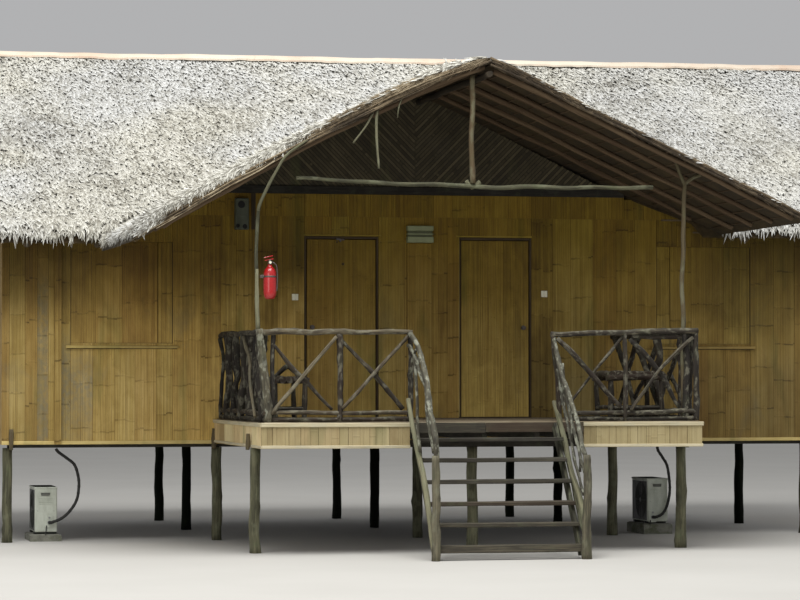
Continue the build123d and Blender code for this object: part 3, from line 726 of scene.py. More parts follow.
lamp("top_light", (-3.0, -9.0, 17.0), (0, 0.5, 2.5), 13, 4300, (1.0, 0.99, 0.97))
lamp("front_light", (-13.0, -20.0, 6.0), (0, 0, 1.5), 9, 560, (1.0, 0.97, 0.92))

fl = Build()
fl.add(np.array([(-90, -60, 0), (90, -60, 0), (90, 120, 0), (-90, 120, 0)], float), [np.array([[0, 1, 2, 3]])])
fme = bpy.data.meshes.new("floor")
fme.from_pydata([tuple(p) for p in fl.v[0]], [], [(0, 1, 2, 3)])
floor_ob = bpy.data.objects.new("floor", fme)
sc.collection.objects.link(floor_ob)
ms = Shade("floor_mat", 0.9)
ms.color(ms.mix(ms.remap(ms.noise(ms.scale(ms.obj, 0.5), 1, 3), 0.3, 0.7), (0.50, 0.49, 0.46), (0.53, 0.52, 0.49)))
fme.materials.append(ms.m)


# ==================================================================== posts
def make_posts():
    b = Build()
    k = 0
    # posts under the house take the darker pole copy, and the middle row a lower tone: painted shade
    for y, t in ((0.09, 0.50), (2.4, 0.25), (4.71, 0.5)):
        for x in (-4.53, -2.25, 0.0, 2.25, 4.53):
            k += 1
            pole(b, [(x, y, 0), (x, y, 1.02)], [0.058, 0.054, 0.052], 100 + k, 14, 0.07, 0.045, 0.005, 0.04, 2.5, t + 0.05 * math.sin(k * 3.7), mat=0 if y < 1 else 1)
    # stubs of the front posts stand up before the foot of the wall
    for x, w in ((-4.50, 0.05), (-2.30, 0.05), (2.33, 0.045), (4.53, 0.05)):
        pole(b, [(x, -0.024, 1.00), (x + 0.004, -0.024, 1.222)], [0.024, 0.026, 0.022], 130 + int(x * 10), 10, 0.04, 0.10, 0.0, 0.10, 3, 0.35, 0.9)
    b.make("stilts", [M_POST, M_SHADED_POST], replaces=["house_posts"])
    b = Build()
    for i, x in enumerate((-2.25, 0.01, 2.25)):
        pole(b, [(x, -2.45, 0), (x, -2.45, 1.064)], [0.060, 0.054, 0.052], 140 + i, 14, 0.07, 0.045, 0.005, 0.04, 2.5, 0.55)
    for x in (-2.325, 2.325):
        pole(b, [(x, -2.45, 1.045), (x, -2.45, 1.210)], [0.020, 0.024, 0.018], 150 + int(x), 10, 0.03, 0.10, 0.0, 0.10, 3, 0.35, 0.9)
    b.make("porch_stilts", M_POST, replaces=["porch_posts"])


# ============================================================== floor frame
def make_floor():
    b = Build()
    for x0, x1, y, z0, h, w in ((-2.25, 2.25, -2.45, 1.064, 1.139, 0.08), (-4.53, 4.53, 0.105, 1.02, 1.139, 0.08), (-4.53, 4.53, 2.4, 1.02, 1.139, 0.08), (-4.53, 4.53, 4.695, 1.02, 1.139, 0.08)):
        beam(b, (x0, y, (z0 + h) / 2), (x1, y, (z0 + h) / 2), w, h - z0, int(200 + y * 7), tone=0.30)
    b.make("bearers", M_SAWN, replaces=["floor_bearers"])
    b = Build()
    for k in range(17):
        x = -4.48 + 0.56 * k
        beam(b, (x, 0.065, 1.214), (x, 4.735, 1.214), 0.05, 0.148, 220 + k, tone=0.32 + 0.06 * math.sin(k * 2.1))
    for k in range(9):
        x = -2.2 + 0.55 * k
        beam(b, (x, -3.02, 1.214), (x, -0.01, 1.214), 0.05, 0.148, 240 + k, tone=0.32 + 0.06 * math.sin(k * 2.7))
    b.make("joists", M_SAWN, replaces=["floor_joists"])
    rng = np.random.default_rng(31)
    for name, x0, x1, y0, y1, node, seed in (("house_boards", -4.535, 4.535, 0.062, 4.738, "house_floor", 300), ("porch_boards", -2.26, 2.26, -3.055, -0.002, "porch_floor", 600)):
        b = Build()
        y, k = y0, 0
        while y < y1 - 0.02:
            w = min(rng.uniform(0.10, 0.15), y1 - y)
            if y1 - y - w < 0.04:
                w = y1 - y
            cuts = [x0] + sorted(rng.uniform(x0 + 0.8, x1 - 0.8, 2 if x1 - x0 > 6 else 1)) + [x1]
            for a, c in zip(cuts[:-1], cuts[1:]):
                k += 1
                z = 1.31 + rng.uniform(-0.0012, 0.0012)
                beam(b, (a + 0.0015, y + w / 2, z), (c - 0.0015, y + w / 2, z), w - 0.004, 0.038, seed + k, step=0.45, tone=0.8 if y == -3.055 else float(rng.uniform(0.3, 0.65)), hue=float(rng.uniform(0.3, 0.6)), ch=0.003)
            y += w
        b.make(name, M_BOARD, replaces=[node])


def make_skirts():
    b = Build()
    core = dict(tone=0.25, mat=0)
    for x0, x1, cuts in ((-2.29, -0.78, [-2.18, -2.015, -1.895, -1.715, -1.50, -1.41, -1.13, -0.99]), (1.03, 2.29, [1.16, 1.37, 1.60, 1.69, 1.94, 2.13])):
        block(b, x0, x1, -3.05, -3.036, 1.07, 1.32, **core)
        sheets(b, front(-3.052), x0, x1, 1.068, 1.322, int(700 + x0 * 10), 0.22, 0.062, 0.9, 0.005, tone=0.54, spread=0.085, cuts=cuts, loose=True)
        sheets(b, rear(-3.036), x0, x1, 1.068, 1.322, int(720 + x0 * 10), 0.3, 0.05, 0.5, 0.003, tone=0.35, fine=False)
        # cap and foot strips of split culm
        beam(b, (x0 - 0.005, -3.066, 1.303), (x1, -3.066, 1.303), 0.018, 0.040, int(740 + x0), side=(0, 1, 0), tone=0.62, ch=0.006, mat=2)
        beam(b, (x0, -3.062, 1.086), (x1, -3.062, 1.082), 0.014, 0.030, int(745 + x0), side=(0, 1, 0), tone=0.70, ch=0.005, mat=2)
    for s in (-1, 1):
        x = s * 2.283
        place_o, place_i = (leftward(-2.284), rightward(-2.270)) if s < 0 else (rightward(2.284), leftward(2.270))
        block(b, min(x - 0.001, s * 2.270), max(x, s * 2.270), -3.03, -0.004, 1.07, 1.32, **core)
        sheets(b, place_o, -3.03, -0.004, 1.068, 1.322, 760 + s, 0.34, 0.09, 0.9, 0.005, tone=0.5, spread=0.12, loose=True, mat=3)
        sheets(b, place_i, -3.03, -0.004, 1.068, 1.322, 770 + s, 0.3, 0.05, 0.5, 0.003, tone=0.35, fine=False)
        beam(b, (s * 2.298, -3.06, 1.303), (s * 2.298, -0.002, 1.303), 0.016, 0.040, 780 + s, side=(1, 0, 0), tone=0.58, ch=0.006, mat=2)
        beam(b, (s * 2.295, -3.06, 1.086), (s * 2.295, -0.002, 1.086), 0.012, 0.026, 784 + s, side=(1, 0, 0), tone=0.70, ch=0.005, mat=2)
    # head boards between the stringers
    beam(b, (-0.776, -3.046, 1.272), (0.0, -3.046, 1.270), 0.028, 0.105, 790, side=(0, 1, 0), tone=0.50, hue=0.3, mat=1)
    beam(b, (0.004, -3.046, 1.272), (1.028, -3.046, 1.274), 0.028, 0.100, 791, side=(0, 1, 0), tone=0.50, hue=0.95, mat=1)
    b.make("porch_skirt_panels", [M_PALE, M_SAWN, M_CAPS, M_PALE_S], replaces=["porch_skirts"])


# ==================================================================== walls
WX0, WX1, WZ0, WZ1 = 2.75, 3.86, 2.15, 3.25       # window hole
DJ0, DJ1 = 0.458, 1.290                            # outer edges of the jambs


def wall_panel(b, x0, x1, z0, z1, seed, tone=0.5, grey=None, cuts=None, tones=None, mat=0):
    """A piece of the front wall, 60 mm through, with both skins."""
    block(b, x0, x1, 0.004, 0.056, z0, z1, 0.15)
    sheets(b, front(0.004), x0, x1, z0, z1, seed, tone=tone, grey=grey, cuts=cuts, tones=tones, mat=mat)
    sheets(b, rear(0.056), x0, x1, z0, z1, seed + 7, 0.3, 0.045, 0.5, 0.003, tone=0.42, fine=False)


def left_grey(u, z):
    """Bleached and lichened patches on the left half of the wall."""
    a = ((u > -4.00) & (u < -3.62) & (z < 2.06)) * np.clip((z - 1.1) * 2.5, 0.25, 0.8)
    c = ((u > -4.22) & (u < -4.10) & (z < 2.9)) * 0.75
    return np.maximum(a, c) * 1.0


def make_walls():
    b = Build()
    j = DJ1 + 0.001
    wall_panel(b, -4.6, -WX1, 1.055, 3.55, 801, 0.56, left_grey, [-4.52, -4.35, -4.22, -4.10, -4.01])
    wall_panel(b, -WX0, -j, 1.055, 3.55, 802, 0.48)
    wall_panel(b, -WX1, -WX0, 1.055, WZ0, 803, 0.56, left_grey, [-3.62, -3.38, -3.16, -2.93])
    wall_panel(b, -WX1, -WX0, WZ1, 3.55, 804, 0.45)
    b.make("wall_front_left", [M_WALL_L], replaces=["front_wall_left"])
    b = Build()
    wall_panel(b, WX1, 4.6, 1.055, 3.55, 811, 0.5)
    wall_panel(b, j, WX0, 1.055, 3.55, 812, 0.47)
    wall_panel(b, WX0, WX1, 1.055, WZ0, 813, 0.5)
    wall_panel(b, WX0, WX1, WZ1, 3.55, 814, 0.45)
    b.make("wall_front_right", [M_WALL_R], replaces=["front_wall_right"])
    b = Build()
    wall_panel(b, -DJ0 + 0.001, DJ0 - 0.001, 1.055, 3.55, 821, 0.48)
    b.make("wall_front_middle", [M_WALL], replaces=["front_wall_middle"])
    b = Build()
    for s in (-1, 1):
        x0, x1 = sorted((s * DJ0, s * DJ1))
        wall_panel(b, x0, x1, 1.055, 1.328, 831 + s)
        wall_panel(b, x0, x1, 3.334, 3.55, 841 + s, 0.44)
    wall_panel(b, -j, j, 3.551, 3.798, 851, 0.44)
    for s in (-1, 1):
        for a, c, top in ((j, 2.37, 3.798), (2.371, 2.60, 3.775), (2.601, 2.855, 3.735), (2.857, 3.35, 3.655)):
            x0, x1 = sorted((s * a, s * c))
            wall_panel(b, x0, x1, 3.551, top, int(856 + s * a * 10), 0.45, mat=3 if s < 0 else 4)
    # a dark strip on the wall beside the wall box
    block(b, -1.881, -1.833, -0.0022, 0.003, 3.40, 3.797, 0.3, mat=2)
    # light strip along the foot of the front wall
    for x0, x1 in ((-4.6, -2.32), (2.32, 4.6)):
        beam(b, (x0, -0.006, 1.074), (x1, -0.006, 1.074), 0.012, 0.036, int(861 + x0), side=(0, 1, 0), tone=0.62, ch=0.004, mat=1)
    b.make("wall_front_panels", [M_WALL, M_STRIP, M_JAMB, M_WALL_L, M_WALL_R], replaces=["front_wall_panels"])
    for s, name, node in ((-1, "wall_left_end", "left_end_wall"), (1, "wall_right_end", "right_end_wall")):
        b = Build()
        top = lambda y: z_main(y) - 0.006
        x0, x1 = sorted((s * 4.544, s * 4.596))
        pts = [(0.061, 1.055), (4.739, 1.055), (4.739, float(top(4.739))), (2.4, float(top(2.4))), (0.061, float(top(0.061)))]
        v = np.array([(x, y, z) for x in (x0, x1) for y, z in pts])
        sides = [(i, (i + 1) % 5, 5 + (i + 1) % 5, 5 + i) for i in range(5)]
        b.add(v, [np.array([[4, 3, 2, 1, 0], [5, 6, 7, 8, 9]]), np.array(sides)], (0.15, 0.5, 0, 0))
        outer, inner = (leftward(-4.596), rightward(-4.544)) if s < 0 else (rightward(4.596), leftward(4.544))
        sheets(b, outer, 0.0, 4.8, 1.055, top, 871 + s, 0.26, 0.026, 0.46, tone=0.5)
        sheets(b, inner, 0.061, 4.739, 1.33, top, 881 + s, 0.3, 0.06, 0.5, 0.003, tone=0.42, fine=False)
        b.make(name, [M_WALL2], replaces=[node])
    b = Build()
    block(b, -4.6, 4.6, 4.744, 4.796, 1.055, 3.55, 0.15)
    sheets(b, rear(4.796), -4.6, 4.6, 1.055, 3.55, 891, 0.26, 0.024, 0.46, tone=0.5)
    sheets(b, front(4.744), -4.54, 4.54, 1.33, 3.55, 892, 0.3, 0.06, 0.5, 0.003, tone=0.42, fine=False)
    beam(b, (-4.6, 4.806, 1.074), (4.6, 4.806, 1.074), 0.012, 0.036, 893, side=(0, 1, 0), tone=0.62, ch=0.004, mat=1)
    b.make("wall_back", [M_WALL2, M_STRIP], replaces=["back_wall"])


def make_lattice():
    """Diamond twill of flat bamboo strips in the gable over the porch."""
    b = Build()
    w, pitch = 0.026, 0.035
    z0 = 3.762
    apex = 4.945

    def inside(p, q):
        # clip the line p-q to the gable triangle
        t0, t1 = 0.0, 1.0
        d = q - p
        for nx, nz, c in ((0, -1, -z0), (0.49, 1, apex), (-0.49, 1, apex), (1, 0, 2.37), (-1, 0, 2.37)):
            num = c - (nx * p[0] + nz * p[1])
            den = nx * d[0] + nz * d[1]
            if abs(den) < 1e-9:
                if num < 0:
                    return None
            elif den > 0:
                t1 = min(t1, num / den)
            else:
                t0 = max(t0, num / den)
        return (t0, t1) if t1 - t0 > 0.002 else None

    s2 = math.sqrt(0.5)
    rng = np.random.default_rng(9)
    for fam, d in ((0, np.array([s2, s2])), (1, np.array([s2, -s2]))):
        perp = np.array([-d[1], d[0]])
        for k in range(-86, 87):
            p = np.array([0, 4.2]) + perp * (k * pitch) - d * 6
            q = p + d * 12
            hit = inside(p, q)
            if not hit:
                continue
            la, lb = hit[0] * 12 - 6, hit[1] * 12 - 6
            m0, m1 = int(math.floor(la / pitch)), int(math.ceil(lb / pitch))
            ss, hh = [la], []
            for m in range(m0, m1 + 1):
                if la + 0.01 < m * pitch < lb - 0.01:
                    ss.append(m * pitch)
            ss.append(lb)
            for s in ss:
                m = int(round(s / pitch))
                x = perp[0] * k * pitch + d[0] * s
                i, j = (k, m) if fam == 0 else (-m, k)
                lead = 0 if x > -0.03 else 1
                dip = ((i * 5 + j * 3) % 37) == 0
                hh.append(0.0024 * (1 if (fam == lead) != dip else -1))
            tone = float(np.clip((0.70 if k % 2 else 0.52) + rng.normal() * 0.10, 0, 1))
            rings = []
            for s, h in zip(ss, hh):
                c = np.array([0, 4.2]) + perp * (k * pitch) + d * s
                ring = []
                for a, e in ((-w / 2, -0.0012), (w / 2, -0.0012), (w / 2, 0.0012), (-w / 2, 0.0012)):
                    pt = c + perp * a
                    ring.append((pt[0], 0.015 - h - e, pt[1]))
                rings.append(ring)
            rings = np.array(rings)
            g = np.stack([np.repeat(np.array(ss), 4) + k, rings.reshape(-1, 3)[:, 0], rings.reshape(-1, 3)[:, 2]], -1)
            col = np.zeros((len(ss) * 4, 4))
            # a strip turns dark where it passes under a crossing strip: painted shade in the weave
            col[:, 0] = np.repeat(np.where(np.array(hh) > 0, tone, 0.10), 4)
            col[:, 1] = 0.5
            loft(b, rings, col, g, 0, False, flip=False)
    # backing behind the weave and the wall plate along its foot
    v = np.array([(x, y, z) for y in (0.024, 0.03) for x, z in ((-2.37, z0), (2.37, z0), (2.37, apex - 0.49 * 2.37), (0, apex), (-2.37, apex - 0.49 * 2.37))])
    sides = [(i, (i + 1) % 5, 5 + (i + 1) % 5, 5 + i) for i in range(5)]
    b.add(v, [np.array([[0, 1, 2, 3, 4], [9, 8, 7, 6, 5]]), np.array(sides)[:, ::-1]], (0.12, 0.5, 0, 0))
    beam(b, (-2.37, 0.0, 3.843), (2.37, 0.0, 3.843), 0.03, 0.088, 901, side=(0, 1, 0), tone=0.14, mat=1)
    b.make("gable_weave", [M_WEAVE, M_SAWN], replaces=["gable_lattice"])


# ======================================================== doors and shutters
def panel_both(b, x0, x1, y0, y1, z0, z1, seed, tone, sheet=0.2, slat=0.016, node=0.6, mat=0, loose=False):
    block(b, x0 + 0.0015, x1 - 0.0015, y0 + 0.003, y1 - 0.003, z0, z1, 0.15, mat=mat)
    sheets(b, front(y0 + 0.004), x0, x1, z0, z1, seed, sheet, slat, node, 0.004, tone=tone, spread=0.06, mat=mat, loose=loose)
    sheets(b, rear(y1 - 0.004), x0, x1, z0, z1, seed + 5, sheet, 0.03, node, 0.003, tone=tone, spread=0.05, mat=mat, fine=False)


def make_doors():
    for s, body, node in ((-1, "left_door", "left_door"), (1, "right_door", "right_door")):
        b = Build()
        x0, x1 = sorted((s * 0.486, s * 1.262))
        panel_both(b, x0, x1, 0.015, 0.050, 1.338, 3.297, 911 + 20 * s, 0.5, sheet=0.26, slat=0.030, loose=True)
        if s < 0:
            # knots in the left leaf
            for kx, kz, kr in ((-0.854, 3.029, 0.016), (-0.921, 3.272, 0.012)):
                disc(b, (kx, 0.012, kz), (0, -1, 0), kr, kr * 0.7, 0.003, 10, mat=2)
        # ledges across the inner face
        for z in (1.55, 2.32, 3.06):
            hx0, hx1 = (x0 + 0.02, x1 - 0.07) if s < 0 else (x0 + 0.07, x1 - 0.02)
            beam(b, (hx0, 0.054, z), (hx1, 0.054, z), 0.008, 0.07, 930 + int(z * 10), side=(0, 1, 0), tone=0.4, mat=1)
        b.make(node + "_leaf", [M_DOOR, M_SAWN, M_JAMB], body=body, replaces=[node])
    b = Build()
    for s in (-1, 1):
        for a, c in ((DJ0, DJ0 + 0.02), (DJ1 - 0.02, DJ1)):
            x = s * (a + c) / 2
            beam(b, (x, 0.0275, 1.33), (x, 0.0275, 3.332), 0.0195, 0.055, 940 + int(x * 10), side=(1, 0, 0), tone=0.5, hue=0.4, step=0.3, ch=0.003)
        x0, x1 = sorted((s * (DJ0 + 0.021), s * (DJ1 - 0.021)))
        beam(b, (x0, 0.0275, 3.3185), (x1, 0.0275, 3.3185), 0.055, 0.026, 950 + s, tone=0.5, hue=0.4, ch=0.003)
        # thin light beads round the frame
        x0, x1 = sorted((s * (DJ0 - 0.03), s * (DJ1 + 0.006)))
        beam(b, (x0, -0.003, 3.345), (x1, -0.003, 3.345), 0.010, 0.014, 954 + s, side=(0, 1, 0), tone=0.6, ch=0.002, mat=1)
        beam(b, (s * DJ0 if s > 0 else -DJ0 + 0.010, -0.003, 1.34), (s * DJ0 if s > 0 else -DJ0 + 0.010, -0.003, 3.338), 0.010, 0.008, 957 + s, side=(0, 1, 0), tone=0.5, ch=0.002, step=0.3, mat=1)
    # hasp at the head of the left door
    beam(b, (-0.935, -0.006, 3.302), (-0.845, -0.006, 3.296), 0.012, 0.020, 958, side=(0, 1, 0), tone=0.2, ch=0.002, mat=2)
    disc(b, (-0.888, -0.004, 3.285), (0, -1, 0), 0.014, 0.012, 0.012, 12, mat=2)
    b.make("door_jambs", [M_JAMB, M_STRIP, M_STEEL], replaces=["door_frames"])
    b = Build()
    for s in (-1, 1):
        for a, c, seed, tn in ((2.912, 3.857, 960, 0.52), (2.753, 2.908, 970, 0.5)):
            x0, x1 = sorted((s * a, s * c))
            panel_both(b, x0, x1, 0.008, 0.048, 2.153, 3.247, seed + s * 3, tn, 0.3 if c - a > 0.3 else 0.16, slat=0.024, mat=0 if s < 0 else 2)
        # dark reveal of the window hole
        for x in (s * (WX0 + 0.0006), s * (WX1 - 0.0006)):
            block(b, x - 0.0008, x + 0.0008, -0.001, 0.05, 2.1505, 3.2495, 0.5, mat=1)
        xa, xb = sorted((s * WX0, s * WX1))
        block(b, xa, xb, -0.001, 0.05, 2.1500, 2.1525, 0.5, mat=1)
    b.make("shutter_panels", [M_WALL_L, M_JAMB, M_WALL_R], replaces=["window_shutters"])
    b = Build()
    for s in (-1, 1):
        x0, x1 = sorted((s * 2.69, s * 3.91))
        beam(b, (x0, -0.015, 2.1095), (x1, -0.015, 2.1095), 0.03, 0.030, 980 + s, tone=0.38 if s < 0 else 0.14, hue=0.4, ch=0.005)
        block(b, x0 + 0.01, x1 - 0.01, -0.004, 0.0, 2.0875, 2.094, 0.1, mat=1)
    b.make("sill_strips", [M_STRIP, M_JAMB], replaces=["window_sills"])
    b = Build()
    for x0, x1, y0, z0, z1, seed in ((-4.037, -3.961, -0.040, 1.06, 3.45, 990), (-0.137, 0.143, -0.022, 1.335, 3.262, 992)):
        block(b, x0 + 0.001, x1 - 0.001, y0 + 0.004, -0.0005, z0, z1, 0.2)
        sheets(b, front(y0 + 0.004), x0, x1, z0, z1, seed, 0.3, 0.02, 0.44, 0.004, tone=0.54, spread=0.05, mat=1 if x0 < -3 else 0)
    b.make("batten_strips", [M_WALL, M_WALL_L], replaces=["cover_strips"])


# ================================================================= railings
def make_railings():
    y = -2.995
    b = Build()
    # left front panel
    pole(b, [(-2.289, y, 2.228), (-1.9, y, 2.230), (-1.45, y, 2.236), (-0.74, y, 2.232)], [0.029, 0.027, 0.026], 1001, 12, 0.05, 0.07, 0.006, 0.05, 3, 0.70, 0.60)
    pole(b, [(-2.26, y, 1.428), (-0.76, y, 1.424)], [0.023, 0.022], 1002, 12, 0.05, 0.05, 0.004, 0.05, 2, 0.58, 0.72)
    pole(b, [(-2.25, y + 0.01, 1.358), (-0.77, y + 0.01, 1.360)], [0.026, 0.024], 1003, 12, 0.05, 0.06, 0.004, 0.05, 2, 0.35, 0.7)
    pole(b, [(-2.212, y - 0.004, 1.338), (-2.219, y - 0.004, 1.504), (-2.246, y - 0.004, 1.763), (-2.269, y - 0.004, 1.972), (-2.297, y - 0.004, 2.161), (-2.310, y - 0.004, 2.262)], [0.041, 0.039, 0.037, 0.035], 1004, 14, 0.04, 0.10, 0.003, 0.08, 9, 0.60, 0.25, mat=1)
    pole(b, [(-2.150, y + 0.03, 1.335), (-2.165, y + 0.03, 1.75), (-2.155, y + 0.03, 2.215)], [0.026, 0.022], 1005, 10, 0.05, 0.07, 0.005, 0.06, 3, 0.22)
    pole(b, [(-1.487, y, 1.335), (-1.480, y, 1.75), (-1.490, y, 2.215)], [0.034, 0.032], 1006, 12, 0.04, 0.11, 0.004, 0.08, 7, 0.36, 0.7)
    pole(b, [(-0.768, y, 1.335), (-0.760, y, 1.85), (-0.772, y, 2.235)], [0.029, 0.026], 1007, 12, 0.05, 0.09, 0.004, 0.06, 5, 0.22)
    pole(b, [(-2.185, y - 0.026, 1.415), (-1.86, y - 0.03, 1.80), (-1.525, y - 0.026, 2.185)], 0.020, 1008, 10, 0.05, 0.05, 0.003, 0.05, 1, 0.72, 0.35)
    pole(b, [(-2.17, y + 0.024, 2.12), (-1.95, y + 0.026, 1.86), (-1.80, y + 0.026, 1.72), (-1.56, y + 0.024, 1.455)], [0.015, 0.023, 0.020, 0.015], 1009, 10, 0.05, 0.09, 0.006, 0.06, 3, 0.42, 0.6)
    pole(b, [(-1.465, y - 0.026, 1.465), (-1.13, y - 0.028, 1.83), (-0.790, y - 0.026, 2.195)], 0.018, 1010, 10, 0.05, 0.05, 0.003, 0.05, 1, 0.60, 0.75)
    pole(b, [(-1.455, y + 0.024, 2.14), (-1.13, y + 0.026, 1.81), (-0.835, y + 0.024, 1.46)], [0.018, 0.027, 0.024], 1011, 10, 0.05, 0.09, 0.006, 0.06, 3, 0.42, 0.6)
    b.make("rail_front_left", [M_LOG, M_RAIL], replaces=["railing_front_left"])
    b = Build()
    pole(b, [(0.700, y, 2.216), (1.45, y, 2.232), (2.262, y, 2.252)], [0.026, 0.027, 0.033], 1021, 12, 0.05, 0.06, 0.005, 0.05, 2, 0.44)
    pole(b, [(1.55, y + 0.03, 2.198), (2.24, y + 0.03, 2.190)], [0.022, 0.026], 1020, 12, 0.05, 0.08, 0.005, 0.05, 3, 0.15, 0.7)
    pole(b, [(0.95, y, 1.412), (2.25, y, 1.428)], [0.023, 0.024], 1022, 12, 0.05, 0.06, 0.004, 0.05, 2, 0.38)
    pole(b, [(0.90, y + 0.01, 1.356), (2.25, y + 0.01, 1.358)], [0.024, 0.024], 1023, 12, 0.05, 0.06, 0.004, 0.05, 2, 0.2)
    pole(b, [(0.790, y, 1.335), (0.765, y, 1.8), (0.722, y, 2.21)], [0.028, 0.024], 1024, 12, 0.05, 0.08, 0.005, 0.06, 3, 0.32, 0.7)
    pole(b, [(1.485, y, 1.335), (1.495, y, 1.85), (1.480, y, 2.23)], [0.024, 0.022], 1025, 12, 0.05, 0.08, 0.005, 0.06, 3, 0.40)
    pole(b, [(2.245, y, 1.335), (2.250, y, 1.8), (2.240, y, 2.25)], [0.034, 0.032, 0.030], 1026, 12, 0.05, 0.07, 0.004, 0.06, 2, 0.30, 0.2)
    pole(b, [(2.130, y + 0.02, 1.335), (2.150, y + 0.02, 1.8), (2.125, y + 0.02, 2.235)], [0.036, 0.034], 1027, 12, 0.05, 0.07, 0.006, 0.06, 2, 0.16)
    pole(b, [(0.76, y - 0.028, 2.175), (1.119, y - 0.03, 1.805), (1.43, y - 0.026, 1.475)], [0.025, 0.027, 0.022], 1028, 10, 0.05, 0.07, 0.005, 0.06, 2, 0.25, 0.65)
    pole(b, [(1.468, y + 0.022, 2.195), (1.119, y + 0.024, 1.785), (0.90, y + 0.024, 1.50)], [0.017, 0.015, 0.013], 1029, 10, 0.05, 0.05, 0.004, 0.05, 1, 0.42)
    pole(b, [(2.205, y - 0.028, 2.185), (1.901, y - 0.03, 1.92), (1.70, y - 0.03, 1.66), (1.535, y - 0.026, 1.44)], [0.020, 0.018, 0.019], 1030, 10, 0.05, 0.06, 0.004, 0.06, 2, 0.50)
    pole(b, [(1.54, y + 0.024, 2.17), (1.80, y + 0.026, 1.91), (2.07, y + 0.024, 1.47)], [0.024, 0.026, 0.020], 1031, 10, 0.05, 0.08, 0.006, 0.06, 2, 0.22)
    b.make("rail_front_right", M_LOG, replaces=["railing_front_right"])
    for s, name, node, seed in ((-1, "rail_side_left", "railing_side_left", 1040), (1, "rail_side_right", "railing_side_right", 1080)):
        rng = np.random.default_rng(seed)
        b = Build()
        x = s * 2.225
        pole(b, [(x, -2.95, 2.225), (x, -1.5, 2.235), (x, -0.03, 2.23)], [0.030, 0.028], seed, 12, 0.07, 0.05, 0.008, 0.05, 2, 0.35, 0.3)
        pole(b, [(x, -2.95, 1.42), (x, -0.03, 1.42)], [0.028, 0.026], seed + 1, 12, 0.07, 0.05, 0.006, 0.05, 2, 0.40, 0.75)
        pole(b, [(x, -2.95, 1.358), (x, -0.03, 1.358)], [0.026, 0.024], seed + 2, 12, 0.07, 0.05, 0.006, 0.05, 2, 0.22)
        # crooked trunks that lean together and cross
        if s < 0:
            trunks = (([(-0.076, 2.20), (-0.334, 1.90), (-0.129, 1.478), (-0.10, 1.335)], 0.017, 0.12, 0.3, -0.015),
                      ([(-0.538, 2.225), (-0.674, 1.88), (-0.50, 1.45), (-0.45, 1.335)], 0.030, 0.32, 0.2, 0.0),
                      ([(-0.34, 2.20), (-0.58, 1.75), (-0.80, 1.36)], 0.019, 0.10, 0.4, 0.028),
                      ([(-1.046, 2.225), (-1.23, 1.951), (-1.269, 1.804), (-0.93, 1.56), (-0.88, 1.335)], 0.026, 0.14, 0.5, 0.0),
                      ([(-1.589, 2.225), (-1.685, 1.939), (-1.591, 1.70), (-1.40, 1.448), (-1.38, 1.335)], 0.037, 0.34, 0.25, 0.0),
                      ([(-1.98, 2.21), (-1.82, 1.80), (-1.96, 1.335)], 0.026, 0.16, 0.6, 0.015),
                      ([(-2.34, 2.21), (-2.40, 1.80), (-2.22, 1.335)], 0.024, 0.14, 0.6, 0.02),
                      ([(-2.74, 2.22), (-2.70, 1.80), (-2.76, 1.335)], 0.034, 0.22, 0.4, 0.0),
                      ([(-0.86, 2.21), (-0.93, 1.80), (-1.12, 1.36)], 0.020, 0.14, 0.4, 0.024),
                      ([(-1.36, 2.21), (-1.42, 1.80), (-1.66, 1.36)], 0.022, 0.20, 0.4, 0.026),
                      ([(-1.80, 2.21), (-2.02, 1.78), (-1.74, 1.36)], 0.022, 0.12, 0.4, 0.028),
                      ([(-2.16, 2.21), (-2.22, 1.80), (-2.46, 1.36)], 0.022, 0.18, 0.4, 0.028),
                      ([(-2.56, 2.21), (-2.56, 1.80), (-2.62, 1.36)], 0.024, 0.12, 0.4, 0.024),
                      ([(-1.76, 2.20), (-2.134, 1.947), (-2.178, 1.803), (-2.50, 1.38)], 0.012, 0.86, 0.3, -0.036))
        else:
            trunks = (([(-0.19, 2.22), (-0.54, 1.879), (-0.892, 1.462), (-0.95, 1.335)], 0.028, 0.30, 0.4, -0.020),
                      ([(-0.91, 2.20), (-0.59, 1.879), (-0.178, 1.467), (-0.11, 1.335)], 0.026, 0.16, 0.6, 0.024),
                      ([(-0.88, 2.20), (-1.343, 1.899), (-1.846, 1.45), (-1.93, 1.335)], 0.029, 0.34, 0.4, -0.024),
                      ([(-1.70, 2.20), (-1.343, 1.899), (-0.839, 1.539), (-0.72, 1.335)], 0.026, 0.14, 0.6, 0.026),
                      ([(-1.711, 2.225), (-1.816, 1.95), (-1.671, 1.833), (-1.847, 1.482), (-1.86, 1.335)], 0.036, 0.20, 0.7, 0.0),
                      ([(-2.66, 2.10), (-2.273, 1.832), (-1.90, 1.49)], 0.023, 0.30, 0.4, -0.030),
                      ([(-2.06, 1.82), (-2.512, 1.519), (-2.66, 1.38)], 0.022, 0.16, 0.6, 0.026),
                      ([(-2.553, 2.22), (-2.53, 1.8), (-2.545, 1.335)], 0.032, 0.20, 0.6, 0.0),
                      ([(-2.824, 2.22), (-2.84, 1.8), (-2.816, 1.335)], 0.030, 0.32, 0.4, 0.0))
        w = 1.28 if s < 0 else 1.05
        for k, (q, r, tn, hu, dx) in enumerate(trunks):
            pole(b, [(x + dx, yy, zz) for yy, zz in q], [r * w * 1.08, r * w * 0.95, r * w * 0.92], seed + 5 + k, 10, 0.05, 0.11, 0.006, 0.08, 4, tn, hu)
        b.make(name, M_LOG, replaces=[node])


